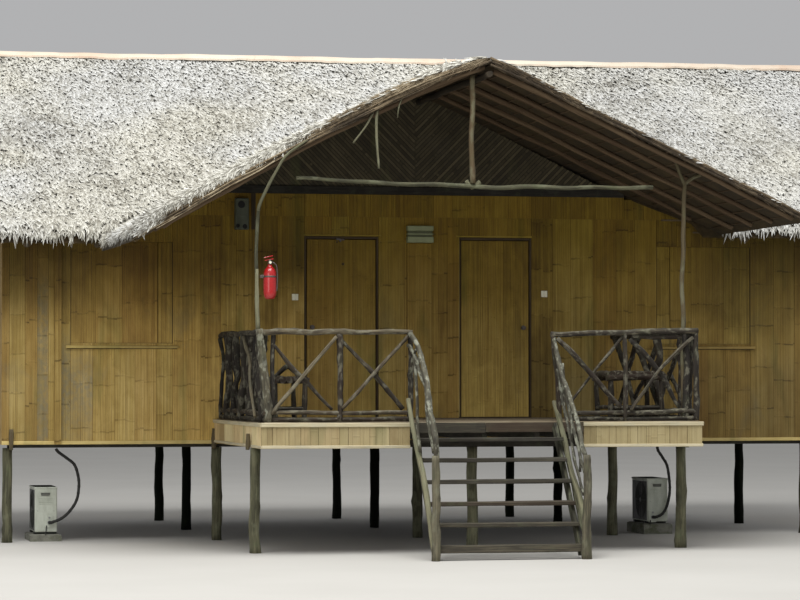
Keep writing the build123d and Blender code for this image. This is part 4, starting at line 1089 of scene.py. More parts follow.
# ==================================================================== stair
def make_stair():
    b = Build()
    L, R = -0.80, 0.765
    pole(b, [(L - 0.005, -3.075, 1.56), (L, -3.30, 1.30), (L, -3.52, 0.99), (L + 0.005, -3.72, 0.76), (L + 0.01, -3.97, 0.42), (L + 0.015, -4.135, 0.10)], [0.022, 0.027, 0.029, 0.027], 1101, 12, 0.05, 0.06, 0.004, 0.06, 2, 0.78, 0.45)
    pole(b, [(R - 0.01, -2.93, 1.53), (R - 0.005, -3.12, 1.29), (R, -3.30, 1.09), (R, -3.53, 0.83), (R, -3.83, 0.58), (R, -4.12, 0.18), (R, -4.14, 0.05)], [0.022, 0.028, 0.032, 0.030], 1102, 12, 0.05, 0.06, 0.004, 0.06, 2, 0.66, 0.5)
    # dark inner carriers that hold the treads
    beam(b, (L + 0.050, -3.10, 1.29), (L + 0.050, -4.07, 0.06), 0.035, 0.10, 1103, side=(1, 0, 0), tone=0.25)
    beam(b, (R - 0.055, -3.10, 1.29), (R - 0.055, -4.07, 0.06), 0.035, 0.10, 1104, side=(1, 0, 0), tone=0.25)
    pole(b, [(R + 0.012, -2.99, 1.42), (R + 0.015, -3.28, 1.03), (R + 0.015, -3.60, 0.66), (R + 0.012, -3.98, 0.25)], [0.024, 0.026], 1105, 10, 0.05, 0.07, 0.006, 0.06, 3, 0.42)
    b.make("stringer_logs", M_POST, replaces=["stair_stringers"])
    b = Build()
    rng = np.random.default_rng(11)
    for i, z in enumerate((1.18, 0.98, 0.77, 0.56, 0.355, 0.15)):
        yy = -3.125 + (1.5 - z) / 1.4 * -0.99
        t = 0.045 if z > 0.2 else 0.08
        a, c = -0.753, 0.718
        beam(b, (a, yy + 0.005, z - t / 2 + rng.uniform(-0.003, 0.003)), (c, yy + 0.005, z - t / 2 + rng.uniform(-0.003, 0.003)), 0.13, t - 0.004, 1110 + i, tone=[0.30, 0.42, 0.42, 0.46, 0.54, 0.58][i], hue=[0.4, 0.4, 0.4, 0.75, 0.45, 0.45][i], ch=0.007, wob=0.003)
    b.make("tread_planks", M_SAWN, replaces=["stair_treads"])
    b = Build()
    pole(b, [(-0.775, -4.17, 0.0), (-0.766, -4.165, 0.5), (-0.770, -4.16, 1.02)], [0.046, 0.042, 0.036], 1121, 14, 0.05, 0.06, 0.004, 0.06, 3, 0.68, 0.45)
    # two rough poles side by side make each hand rail
    pole(b, [(-0.775, -3.03, 2.215), (-0.772, -3.26, 2.165), (-0.77, -3.58, 1.90), (-0.77, -3.80, 1.665), (-0.77, -4.00, 1.40), (-0.768, -4.13, 1.18), (-0.766, -4.15, 0.98)], [0.024, 0.026, 0.028, 0.026], 1122, 12, 0.04, 0.10, 0.010, 0.08, 6, 0.46, 0.4, mat=1)
    pole(b, [(-0.79, -3.02, 2.10), (-0.785, -3.25, 2.03), (-0.785, -3.52, 1.79), (-0.785, -3.74, 1.56), (-0.785, -3.95, 1.27), (-0.784, -4.12, 1.05)], [0.018, 0.019, 0.020], 1125, 10, 0.04, 0.10, 0.010, 0.08, 5, 0.52, 0.4, mat=1)
    pole(b, [(-0.79, -3.30, 1.98), (-0.785, -3.42, 1.62), (-0.785, -3.46, 1.35), (-0.79, -3.56, 1.04)], [0.017, 0.016, 0.015], 1123, 10, 0.05, 0.07, 0.006, 0.06, 2, 0.50, 0.4, mat=1)
    pole(b, [(-0.79, -3.06, 1.78), (-0.788, -3.20, 1.96), (-0.785, -3.36, 2.06)], [0.014, 0.015], 1124, 8, 0.04, 0.07, 0.004, 0.06, 2, 0.40, mat=1)
    pole(b, [(0.745, -4.16, 0.0), (0.752, -4.155, 0.5), (0.752, -4.15, 1.02)], [0.046, 0.042, 0.036], 1131, 14, 0.05, 0.06, 0.004, 0.06, 3, 0.56, 0.45)
    pole(b, [(0.738, -2.97, 2.215), (0.742, -3.245, 1.85), (0.748, -3.54, 1.53), (0.75, -3.83, 1.235), (0.75, -4.11, 1.00)], [0.021, 0.023, 0.025, 0.024], 1132, 12, 0.04, 0.10, 0.010, 0.08, 6, 0.42, 0.4, mat=1)
    pole(b, [(0.755, -2.99, 2.08), (0.76, -3.20, 1.76), (0.765, -3.44, 1.46), (0.765, -3.72, 1.16), (0.765, -4.02, 0.84)], [0.017, 0.018], 1133, 10, 0.04, 0.10, 0.008, 0.08, 5, 0.38, 0.4, mat=1)
    pole(b, [(0.765, -3.01, 1.86), (0.77, -3.20, 1.52), (0.772, -3.42, 1.22), (0.772, -3.66, 0.93), (0.772, -3.95, 0.62)], [0.017, 0.016], 1134, 10, 0.04, 0.10, 0.006, 0.08, 5, 0.32, 0.4, mat=1)
    for k, (ya, za, yb, zb) in enumerate(((-3.16, 1.92, -3.24, 1.44), (-3.46, 1.60, -3.50, 1.12), (-3.78, 1.26, -3.80, 0.84))):
        pole(b, [(0.78, ya, za), (0.78, yb, zb)], [0.013, 0.012], 1136 + k, 8, 0.05, 0.08, 0.004, 0.06, 3, 0.25, mat=1)
    b.make("handrail_logs", [M_NEWEL, M_RAIL], replaces=["stair_handrails"])


# ============================================================== porch roof
# half span and height of the porch roof's underside and top, left and right
PB = {-1: ([0.0, 0.107, 0.52, 0.93, 1.541, 1.692, 2.146, 2.546, 2.944, 3.142, 3.241, 3.388, 3.60], [4.94, 4.924, 4.755, 4.566, 4.256, 4.184, 3.948, 3.725, 3.494, 3.383, 3.325, 3.235, 3.115]),
      1: ([0.0, 0.5, 1.0, 1.5, 1.914, 2.201, 2.522, 2.843, 3.113, 3.35], [4.91, 4.70, 4.468, 4.240, 4.049, 3.911, 3.762, 3.612, 3.482, 3.37])}
PT = {-1: ([0.0, 0.12, 0.50, 0.93, 1.54, 2.15, 2.95, 3.35, 3.60], [5.01, 5.005, 4.875, 4.695, 4.375, 4.07, 3.655, 3.43, 3.25]),
      1: ([0.0, 0.12, 0.5, 1.0, 1.5, 1.883, 2.202, 2.522, 2.844, 3.145, 3.35], [5.0, 4.975, 4.78, 4.54, 4.305, 4.115, 3.972, 3.818, 3.673, 3.526, 3.43])}


def pb(x, s=-1):
    return np.interp(np.abs(x), *PB[s])


def pt(x, s=-1):
    return np.interp(np.abs(x), *PT[s])


def eave_line(x):
    """Where the front slope starts: the eave, or the valley beside the porch."""
    x = np.asarray(x, float)
    return np.maximum(np.where(x < 0, EAVE[-1], EAVE[1]), valley_y(x))


def make_porch_frame():
    b = Build()
    # left post that stands on the corner log of the railing, bends and passes before the rake
    pole(b, [(-2.315, -2.98, 2.262), (-2.326, -2.98, 2.55), (-2.329, -2.98, 2.86)], [0.022, 0.020], 1201, 12, 0.06, 0.05, 0.005, 0.05, 1.5, 0.84, 0.45)
    pole(b, [(-2.329, -2.98, 2.82), (-2.333, -2.99, 3.1), (-2.330, -3.02, 3.35), (-2.318, -3.09, 3.50)], [0.020, 0.018, 0.017], 1208, 12, 0.06, 0.06, 0.003, 0.05, 2.0, 0.40, 0.3)
    pole(b, [(-2.326, -3.06, 3.44), (-2.310, -3.115, 3.53), (-2.262, -3.20, 3.655), (-2.18, -3.27, 3.82), (-2.099, -3.305, 3.958), (-1.99, -3.315, 4.05), (-1.88, -3.315, 4.129)], [0.0175, 0.016, 0.014, 0.009], 1212, 12, 0.05, 0.06, 0.002, 0.05, 2.0, 0.66, 0.3)
    pole(b, [(2.130, -2.93, 1.331), (2.125, -2.93, 2.4), (2.140, -2.93, 3.2), (2.153, -2.93, 3.789)], [0.025, 0.023, 0.023], 1202, 12, 0.06, 0.05, 0.006, 0.05, 1.5, 0.36, 0.85)
    pole(b, [(2.150, -2.93, 3.76), (2.10, -2.96, 3.86), (2.024, -3.0, 4.00)], [0.021, 0.015], 1203, 10, 0.05, 0.06, 0.003, 0.05, 1, 0.40, 0.8)
    pole(b, [(2.150, -2.94, 3.775), (2.25, -2.945, 3.84), (2.373, -2.95, 3.878)], [0.022, 0.016], 1209, 10, 0.05, 0.06, 0.003, 0.05, 1, 0.45, 0.8)
    pole(b, [(-1.95, -3.10, 3.765), (-1.2, -3.10, 3.733), (0.0, -3.10, 3.705), (1.0, -3.10, 3.710), (1.75, -3.10, 3.718)], [0.019, 0.023, 0.021], 1204, 12, 0.08, 0.05, 0.008, 0.05, 1.5, 0.44, 0.5)
    pole(b, [(-0.14, -3.10, 3.735), (-0.15, -3.10, 4.3), (-0.14, -3.10, 4.83)], [0.030, 0.026], 1205, 12, 0.06, 0.05, 0.005, 0.05, 1.5, 0.26, 1.0)
    pole(b, [(-0.20, -3.09, 3.76), (-0.14, -3.07, 3.70), (-0.06, -3.09, 3.755)], [0.022, 0.026, 0.020], 1210, 10, 0.03, 0.12, 0.003, 0.08, 4, 0.62)
    # loose sticks that hang from the rake
    pole(b, [(-1.150, -3.255, 4.50), (-1.165, -3.26, 4.20), (-1.140, -3.25, 3.86)], [0.015, 0.013], 1206, 9, 0.05, 0.06, 0.004, 0.05, 2, 0.66)
    pole(b, [(-1.17, -3.255, 4.47), (-1.28, -3.26, 4.28), (-1.40, -3.25, 4.11)], [0.011, 0.009], 1207, 8, 0.05, 0.06, 0.003, 0.05, 1, 0.66)
    pole(b, [(-0.86, -3.255, 4.66), (-0.93, -3.26, 4.50), (-0.95, -3.25, 4.37)], [0.011, 0.007], 1211, 8, 0.05, 0.10, 0.004, 0.05, 1, 0.6)
    b.make("porch_frame_poles", M_POST, replaces=["porch_roof_frame"])
    b = Build()
    k = 0
    for y in (-3.20, -2.57, -1.92, -1.27, -0.62):
        for s in (-1, 1):
            k += 1
            xe = {-1: 3.30, 1: 3.22}[s] if y < -1 else {-1: 3.12, 1: 2.95}[s]
            xs = np.linspace(0.05, xe, 7)
            pole(b, [(s * x, y, float(pb(x, s)) - 0.028) for x in xs], [0.032, 0.028, 0.025], 1220 + k, 10, 0.12, 0.05, 0.006, 0.05, 1.0, 0.52 + 0.1 * math.sin(k), 0.8)
    pole(b, [(0, -3.27, 4.83), (0, -1.6, 4.83), (0, -0.005, 4.83)], 0.033, 1240, 10, 0.12, 0.05, 0.006, 0.05, 1, 0.16)
    # split bamboo battens across the rafters
    for s in (-1, 1):
        for i, x in enumerate(np.arange(0.16, PORCH_EAVE[s] - 0.1, 0.19)):
            yb = min(-0.01, float(valley_y(x)) - 0.12) if x > 2.3 else min(float(valley_y(x)) - 0.12, 1.6)
            pole(b, [(s * x, -3.25, float(pb(x, s)) - 0.002), (s * x, yb, float(pb(x, s)) - 0.002)], 0.008, 1250 + i + 40 * (s > 0), 6, 0.5, 0.03, 0.0, 0.1, 0.5, 0.40, 0.7)
    b.make("porch_rafter_poles", M_RPOLE, replaces=["porch_roof_poles"])
    b = Build()
    k = 0
    om = 0.037 / math.cos(math.atan(M_ROOF))
    for x in (-5.15, -4.4, -3.65, -2.9, -2.15, -1.4, -0.65, 0.65, 1.4, 2.15, 2.9, 3.65, 4.4, 5.15):
        k += 1
        ys = (EAVE[-1] if x < 0 else EAVE[1]) + 0.04 if abs(x) > 3.5 else max(float(valley_y(x)) + 0.25, 0.075)
        pole(b, [(x, ys, float(z_main(ys)) - om), (x, 2.355, float(z_main(2.355)) - om)], [0.034, 0.036], 1300 + k, 10, 0.15, 0.04, 0.004, 0.05, 1.0, 0.45)
        pole(b, [(x, 2.445, float(z_main(2.445)) - om), (x, 5.46, float(z_main(5.46)) - om)], [0.036, 0.034], 1320 + k, 10, 0.15, 0.04, 0.004, 0.05, 1.0, 0.45)
    pole(b, [(-4.538, 2.4, 5.105), (4.538, 2.4, 5.105)], 0.05, 1345, 12, 0.15, 0.04, 0.006, 0.04, 1, 0.4)
    for i, y in enumerate(np.arange(-0.62, 2.3, 0.22)):
        z = float(z_main(y)) - 0.006
        if y < 1.75:
            xv = (y - float(valley_y(0))) / (float(valley_y(3.6)) - float(valley_y(0))) * 3.6 + 0.05
            for s in (-1, 1):
                if y < EAVE[s] + 0.05:
                    continue
                pole(b, [(s * (VERGE - 0.05), y, z), (s * max(xv, 0.03), y, z)], 0.011, 1350 + i + 20 * (s > 0), 6, 0.6, 0.03, 0.0, 0.1, 0.5, 0.62, 0.55)
        else:
            pole(b, [(0.05 - VERGE, y, z), (VERGE - 0.05, y, z)], 0.011, 1350 + i, 6, 0.6, 0.03, 0.0, 0.1, 0.5, 0.62, 0.55)
    for i, y in enumerate(np.arange(2.55, 5.45, 0.22)):
        z = float(z_main(y)) - 0.006
        pole(b, [(0.05 - VERGE, y, z), (VERGE - 0.05, y, z)], 0.011, 1390 + i, 6, 0.6, 0.03, 0.0, 0.1, 0.5, 0.62, 0.55)
    b.make("roof_rafter_poles", M_RPOLE, replaces=["main_roof_poles"])


# ================================================================== thatch
def skin(b, X, Y, ZB, ZT, rng, mat_top=0, mat_bot=1, amp=0.012, tone_top=0.3, tone_bot=0.45):
    """A closed uneven slab over a grid of columns (X, Y), ZB under and ZT on top."""
    n, m = X.shape
    nt = lowpass(lowpass(rng.normal(size=(n, m)), 1, 0, False), 1, 1, False) * amp * 2
    nb = lowpass(lowpass(rng.normal(size=(n, m)), 1, 0, False), 1, 1, False) * amp
    nb[:] = np.minimum(nb, 0.004) * 0.5
    top = np.stack([X, Y, ZT + nt], -1)
    bot = np.stack([X, Y, ZB + nb], -1)
    i = np.arange(n - 1)[:, None] * m
    j = np.arange(m - 1)[None]
    q = np.stack([i + j, i + m + j, i + m + j + 1, i + j + 1], -1).reshape(-1, 4)
    e1, e2 = top[1, 0] - top[0, 0], top[0, 1] - top[0, 0]
    if np.cross(e1, e2)[2] < 0:
        q = q[:, ::-1]
    k = b.n
    # the top gets a low tone and part of the dark mark: painted shade showing in the gaps between the leaves
    b.add(np.concatenate([top.reshape(-1, 3), bot.reshape(-1, 3)]), [q], (tone_top, 0.5, 0.4, 0), None, mat_top)
    b.f.append((q[:, ::-1] + n * m + k, mat_bot, False))
    border = [(r, 0) for r in range(n)] + [(n - 1, c) for c in range(1, m)] + [(r, m - 1) for r in range(n - 2, -1, -1)] + [(0, c) for c in range(m - 2, 0, -1)]
    ids = np.array([r * m + c for r, c in border])
    nx = np.roll(ids, -1)
    side = np.stack([ids, nx, nx + n * m, ids + n * m], -1)
    # same turn as the top faces' rim
    if np.cross(e1, e2)[2] > 0:
        side = side[:, ::-1]
    b.f.append((side + k, mat_bot, False))
    b.c[-1][n * m:, 0] = tone_bot
    b.c[-1][n * m:, 2] = 0


ALPHA = math.atan(M_ROOF)


def hump(x, y):
    """Extra height of the thatch toward the ridge, more at the right end."""
    up = np.exp(-((np.abs(np.asarray(y, float) - RIDGE_Y) / 0.30) ** 1.5))
    return (0.050 + 0.0043 * (np.asarray(x, float) + VERGE)) * up


def main_slope(b, sgn, keep, seed, exposure=0.040, pitch=0.0215, length=0.088, width=0.036, tone=0.60):
    """Leaf courses over the front (-1) or back (+1) slope. keep(x, y) masks."""
    rng = np.random.default_rng(seed)
    down = np.array([0, sgn * math.cos(ALPHA), -math.sin(ALPHA)])
    nrm = np.array([0, sgn * math.sin(ALPHA), math.cos(ALPHA)])
    slope = (RIDGE_Y - EAVE_Y) / math.cos(ALPHA)
    P = []
    for r in range(int(slope / exposure) + 1):
        n = int(2 * VERGE / pitch)
        x = -VERGE + (np.arange(n) + rng.uniform(0, 1, n)) * (2 * VERGE / n)
        tt = r * exposure + 0.03 + rng.uniform(-0.5, 0.5, n) * exposure
        # tt is measured up the slope from the eave
        y = (EAVE_Y if sgn < 0 else 2 * RIDGE_Y - EAVE_Y) - sgn * tt * math.cos(ALPHA)
        z = EAVE_Z + T_ROOF + tt * math.sin(ALPHA)
        ok = keep(x, y) & (tt < slope - 0.012)
        P.append(np.stack([x, y, z], -1)[ok])
    P = np.concatenate(P)
    und = 0.005 * np.sin(P[:, 0] * 1.7 + 1) + 0.006 * np.sin(P[:, 0] * 4.3 + P[:, 1] * 3)
    P += nrm * (und - 0.010)[:, None]
    P[:, 2] += hump(P[:, 0], P[:, 1])
    pale = 0.10 * np.clip(1 - np.abs(P[:, 1] - RIDGE_Y) / 1.3, 0, 1) + 0.06 * np.clip((P[:, 0] - 2) / 3, 0, 1)
    leaves(b, P, np.array([1.0, 0, 0]), down, nrm, rng, length, width, 0.006, lean=0.38, tone=tone + pale, spread=0.19 - 0.4 * pale, skew=0.12)
    return P


LIP = ((0.06, 0.088, 0.036, 3.2), (0.18, 0.088, 0.036, 3.2), (0.30, 0.086, 0.036, 3.2), (0.42, 0.084, 0.035, 3.1), (0.54, 0.080, 0.035, 3.0), (0.65, 0.076, 0.034, 2.8), (0.75, 0.074, 0.033, 2.6), (0.84, 0.072, 0.031, 2.2), (0.92, 0.072, 0.028, 1.6), (1.0, 0.080, 0.023, 1.0))


def lip(b, rng, where, s0, s1, out, along, alpha, thick, per_m, tone=0.60, fall=0.03, back=0.10, turn=0.0, size=1.0, swell=0.0):
    """The rounded, ragged end of the thatch. where(s) is the top edge.

    Leaf courses run on over the edge from the slope (alpha below level) until
    they hang; the last two are long loose tips."""
    out, along = np.asarray(out, float), np.asarray(along, float)
    A = np.array([-back * math.cos(alpha), back * math.sin(alpha)])
    C = np.array([swell, 0.004 - swell * math.tan(alpha)])
    E = np.array([swell * 0.8, -thick + 0.075])
    for t, ln, wd, n in LIP:
        n = int(per_m * abs(s1 - s0) * n / 3)
        s = rng.uniform(min(s0, s1), max(s0, s1), n)
        tt = np.clip(t + rng.uniform(-0.06, 0.06, n), 0, 1)
        q = ((1 - tt) ** 2)[:, None] * A + (2 * tt * (1 - tt))[:, None] * C + (tt**2)[:, None] * E
        dq = (2 * (1 - t)) * (C - A) + 2 * t * (E - C)
        dq /= np.linalg.norm(dq)
        # the loose tips stand a little away from the edge
        dq = dq + np.array([0.10 * t, 0.0])
        dq /= np.linalg.norm(dq)
        P = where(s) + out * q[:, :1] + np.array([0, 0, 1.0]) * q[:, 1:]
        P[:, 2] += 0.010 * np.sin(s * 5.1 + t) + 0.008 * np.sin(s * 13.7)
        d = out * dq[0] + np.array([0, 0, dq[1]])
        nn = out * -dq[1] + np.array([0, 0, dq[0]])
        if turn:
            nn = nn + along * turn
            nn -= d * (nn @ d)
            nn /= np.linalg.norm(nn)
        wave = size * (1 + (0.60 * np.maximum(0, np.sin(s * 23 + 2 * np.sin(s * 7))) if t > 0.88 else 0 * s))
        leaves(b, P, np.cross(d, nn), d, nn, rng, ln * wave, wd, 0.004, lean=0.50 if t < 0.8 else 0.24, tone=tone - fall * t - (0.10 if t > 0.88 else 0.0), spread=0.21, sink=0.006)


def make_main_thatch():
    rng = np.random.default_rng(5)
    b = Build()
    for s in (-1, 1):
        meet = {-1: 3.408, 1: 3.137}[s]
        xs = np.concatenate([np.linspace(0.0, meet, 33), np.linspace(meet + 0.06, VERGE, 20)])
        y0 = eave_line(s * xs)
        tt = np.linspace(0, 1, 34)
        Y = y0[:, None] * (1 - tt) + (RIDGE_Y - 0.001) * tt
        X = np.tile((s * xs)[:, None], (1, 34))
        # beside the porch the underside runs up to the porch roof's
        near = np.exp(-(Y - y0[:, None]) / 0.22) * (xs < meet)[:, None]
        skin(b, X, Y, z_main(Y) + 0.10 * near, z_main(Y) + T_ROOF - 0.055 + hump(X, Y), rng, amp=0.006)
    main_slope(b, -1, lambda x, y: y > eave_line(x) + np.where(eave_line(x) < -0.49, 0.030 + 0.085 * np.mod(x * 917.3 + y * 311.7, 1.0), -0.02), 51)
    for s, meet in ((-1, 3.42), (1, 3.34)):
        ye = EAVE[s]
        lip(b, rng, lambda q, ye=ye: np.stack([q, np.full(len(q), ye), np.full(len(q), float(z_main(ye)) + T_ROOF)], -1), s * meet, s * VERGE, (0, -1, 0), (1, 0, 0), ALPHA, T_ROOF, 62, back=0.13, swell=0.045)
        lip(b, rng, lambda q, s=s: np.stack([np.full(len(q), s * VERGE), q, z_main(q) + T_ROOF + hump(s * VERGE, q)], -1), ye, RIDGE_Y, (s, 0, 0), (0, 1, 0), 0.12, T_ROOF - 0.03, 46, back=0.03, turn=-0.5)
    b.make("thatch_front", [M_THATCH, M_THATCH_IN], replaces=["main_roof_front"])
    b = Build()
    xs = np.linspace(-VERGE, VERGE, 80)
    tt = np.linspace(0, 1, 30)
    X = np.tile(xs[:, None], (1, 30))
    Y = np.tile((5.5 * (1 - tt) + (RIDGE_Y + 0.001) * tt)[None], (80, 1))
    skin(b, X, Y, z_main(Y), z_main(Y) + T_ROOF - 0.055 + hump(X, Y), rng, amp=0.006)
    main_slope(b, 1, lambda x, y: y < 5.5 - 0.075, 61, exposure=0.048, pitch=0.026, length=0.10, width=0.041)
    lip(b, rng, lambda q: np.stack([q, np.full(len(q), 5.5), np.full(len(q), float(z_main(5.5)) + T_ROOF)], -1), -VERGE, VERGE, (0, 1, 0), (1, 0, 0), ALPHA, T_ROOF, 54, back=0.13, swell=0.045)
    for s in (-1, 1):
        lip(b, rng, lambda q, s=s: np.stack([np.full(len(q), s * VERGE), q, z_main(q) + T_ROOF + hump(s * VERGE, q)], -1), RIDGE_Y, 5.5, (s, 0, 0), (0, 1, 0), 0.12, T_ROOF - 0.03, 46, back=0.03, turn=-0.5)
    b.make("thatch_back", [M_THATCH, M_THATCH_IN], replaces=["main_roof_back"])


def bald(x):
    """Where brown stems show through the top of the left rake, 0 to 1."""
    return np.clip((x - 0.50) / 0.25, 0, 1) * np.clip((1.75 - x) / 0.30, 0, 1)


def make_porch_thatch():
    rng = np.random.default_rng(6)
    b = Build()
    for s in (-1, 1):
        xe = PORCH_EAVE[s]
        xs = np.linspace(0.0, xe, 36)
        tt = np.linspace(0, 1, 36)
        yv = np.maximum(valley_y(xs), EAVE[s]) - 0.002
        Y = RAKE_Y * (1 - tt)[None] + yv[:, None] * tt[None]
        X = np.tile((s * xs)[:, None], (1, 36))
        skin(b, X, Y, pb(X, s), pt(X, s) - 0.03, rng, amp=0.006)
        # leaf courses, from the side eave up to the ridge
        P = []
        run = np.linspace(0, xe, 400)
        arc = np.concatenate([[0], np.cumsum(np.hypot(np.diff(run), np.diff(pt(run, s))))])
        total = arc[-1]
        ex = 0.047
        for r in range(int(total / ex) + 1):
            n = int(5.2 / 0.0255)
            y = RAKE_Y + (np.arange(n) + rng.uniform(0, 1, n)) * (5.2 / n)
            a = np.clip(total - (r * ex + 0.03 + rng.uniform(-0.5, 0.5, n) * ex), 0.0, total)
            x = np.interp(a, arc, run)
            ok = (y < np.maximum(valley_y(x) + 0.05, EAVE[s])) & (a > 0.02) & (a < total - 0.06)
            P.append(np.stack([s * x, y, pt(x, s)], -1)[ok])
        P = np.concatenate(P)
        x = np.abs(P[:, 0])
        hi, lo = np.minimum(x + 0.02, xe), np.maximum(x - 0.02, 0)
        sl = (pt(hi, s) - pt(lo, s)) / (hi - lo)
        ln = np.sqrt(1 + sl**2)
        D = np.stack([s / ln, 0 * ln, sl / ln], -1)
        Nn = np.stack([-s * sl / ln, 0 * ln, 1 / ln], -1)
        P = P - Nn * 0.010
        leaves(b, P, np.array([0, 1.0, 0]), D, Nn, rng, 0.098, 0.040, 0.006, lean=0.38, tone=0.58, spread=0.19)
        # ragged leaf ends at the side eave
        th = float(pt(xe, s) - pb(xe, s))
        lip(b, rng, lambda q, s=s: np.stack([np.full(len(q), s * xe), q, np.full(len(q), float(pt(xe, s)))], -1), RAKE_Y + 0.01, float(yv[-1]), (s, 0, 0), (0, 1, 0), 0.46, th - 0.02, 50, tone=0.47, back=0.08, turn=-0.8, size=0.85)
        # the rake: leaf stems bundled along the edge on the left, a thin double edge on the right
        slope = math.atan(0.5)
        d = np.array([s * math.cos(slope), -0.05, -math.sin(slope)])
        d /= np.linalg.norm(d)
        nn = np.array([0, -1.0, 0.10])
        nn -= d * (nn @ d)
        nn /= np.linalg.norm(nn)
        n = 2300 if s < 0 else 900
        x = rng.uniform(0.02, xe - 0.06, n)
        ff = rng.uniform(0.0, 1.0, n) * (1 - 0.42 * np.clip((2.0 - x) / 0.7, 0, 1) + 0.50 * bald(x)) if s < 0 else rng.uniform(0.1, 0.9, n)
        z = pb(x, s) * (1 - ff) + pt(x, s) * ff
        yy = RAKE_Y + 0.006 - 0.012 * np.sin(ff * math.pi)
        # the stems darken toward the rake's underside: painted shade along its lower edge
        leaves(b, np.stack([s * x, yy, z], -1), np.cross(nn, d), d, nn, rng, 0.12, 0.017, 0.004, lean=0.13, tone=0.20 + 0.48 * ff + 0.10 * (x > 2.6) - 0.16 * (x > 3.3) if s < 0 else 0.22, spread=0.15, sink=0.004, mat=2)
        if s < 0:
            # pale leaf ends along its upper edge
            x = 0.30 + 3.22 * rng.uniform(0, 1, 4100) ** 0.90
            x = x[rng.uniform(0, 1, len(x)) > 0.85 * bald(x)]
            n = len(x)
            ff = 1.12 - 0.50 * rng.uniform(0, 1, n) ** 1.25
            z = pb(x) * (1 - ff) + pt(x) * ff
            # the leaf ends also darken toward the underside: painted shade
            leaves(b, np.stack([s * x, RAKE_Y + 0.010 - 0.020 * np.clip((x - 1.5) / 0.7, 0, 1), z], -1), np.cross(nn, d), d, nn, rng, 0.072, 0.035, 0.006, lean=0.62, tone=0.27 + 0.85 * (ff - 0.60) - 0.08 * np.clip((1.5 - x) / 1.0, 0, 1) + 0.06 * (x > 2.6), spread=0.38, sink=0.006, mat=0)
            # a pale tuft closes the foot of the rake
            n = 460
            x = rng.uniform(3.26, 3.56, n)
            ff = rng.uniform(0.25, 1.10, n)
            z = pb(x) * (1 - ff) + pt(x) * ff
            leaves(b, np.stack([s * x, np.full(n, RAKE_Y - 0.008), z], -1), np.cross(nn, d), d, nn, rng, 0.075, 0.036, 0.006, lean=0.55, skew=-0.5, tone=0.42, spread=0.34, sink=0.006, mat=0)
            for i in range(9):
                f = [-0.05, 0.0, 0.06, 0.14, 0.22, 0.32, 0.42, 0.10, -0.02][i]
                x0 = [0.0, 0.3, 0.0, 0.1, 0.0, 0.4, 0.6, 1.9, 2.2][i]
                x1 = [1.9, 3.0, 3.2, 3.30, 3.42, 3.2, 3.0, 3.56, 3.38][i]
                xq = np.linspace(x0, x1, 9)
                zq = pb(xq) * (1 - f) + pt(xq) * f + rng.uniform(-0.006, 0.006, 9)
                pole(b, [(s * p, RAKE_Y - 0.006 - 0.006 * (i % 3), q) for p, q in zip(xq, zq)], [0.006, 0.008, 0.005], 660 + i, 7, 0.10, 0.12, 0.006, 0.1, 2, [0.2, 0.36, 0.15, 0.42, 0.28, 0.5, 0.4, 0.46, 0.62][i], 0.6, mat=2)
        else:
            for i, (f, r, tn) in enumerate(((0.12, 0.013, 0.16), (0.50, 0.008, 0.05), (0.86, 0.013, 0.34))):
                xq = np.linspace(0.0, 3.33, 10)
                zq = pb(xq, 1) * (1 - f) + pt(xq, 1) * f + rng.uniform(-0.003, 0.003, 10)
                pole(b, [(p, RAKE_Y - 0.004, q) for p, q in zip(xq, zq)], r, 680 + i, 8, 0.10, 0.07, 0.003, 0.08, 2, tn, 0.7, mat=2)
    b.make("thatch_porch", [M_THATCH, M_THATCH_IN, M_RAKE], replaces=["porch_roof_thatch"])


def make_ridge():
    b = Build()
    rng = np.random.default_rng(8)
    xs = np.linspace(-VERGE, VERGE, 190)
    sag = lowpass(rng.normal(size=190), 10, 0, False) * 0.008
    edge = lowpass(rng.normal(size=(190, 2)), 1, 0, False) * 0.008
    rings = []
    for i, xx in enumerate(xs):
        zt = RIDGE_BOT + T_ROOF + 0.062 + float(hump(xx, RIDGE_Y)) - 0.042 + sag[i] + 0.003 * ((int((xx + 20) / 1.25) % 2) == 0)
        dys = np.array([-0.082 + edge[i, 0], -0.064, -0.04, -0.018, 0.0, 0.018, 0.04, 0.064, 0.082 + edge[i, 1]])
        prof = [(dy, zt - 0.55 * M_ROOF * abs(dy) - 3.2 * dy * dy) for dy in dys]
        top = [(xx, RIDGE_Y + dy, z) for dy, z in prof]
        low = [(xx, RIDGE_Y + dy * 0.97, z - 0.022) for dy, z in prof[::-1]]
        rings.append(top + low)
    loft(b, np.array(rings), (0.5, 0.5, 0, 0), None, 0, False, flip=True)
    b.make("ridge_sheet", [M_CAP], replaces=["ridge_cap"])


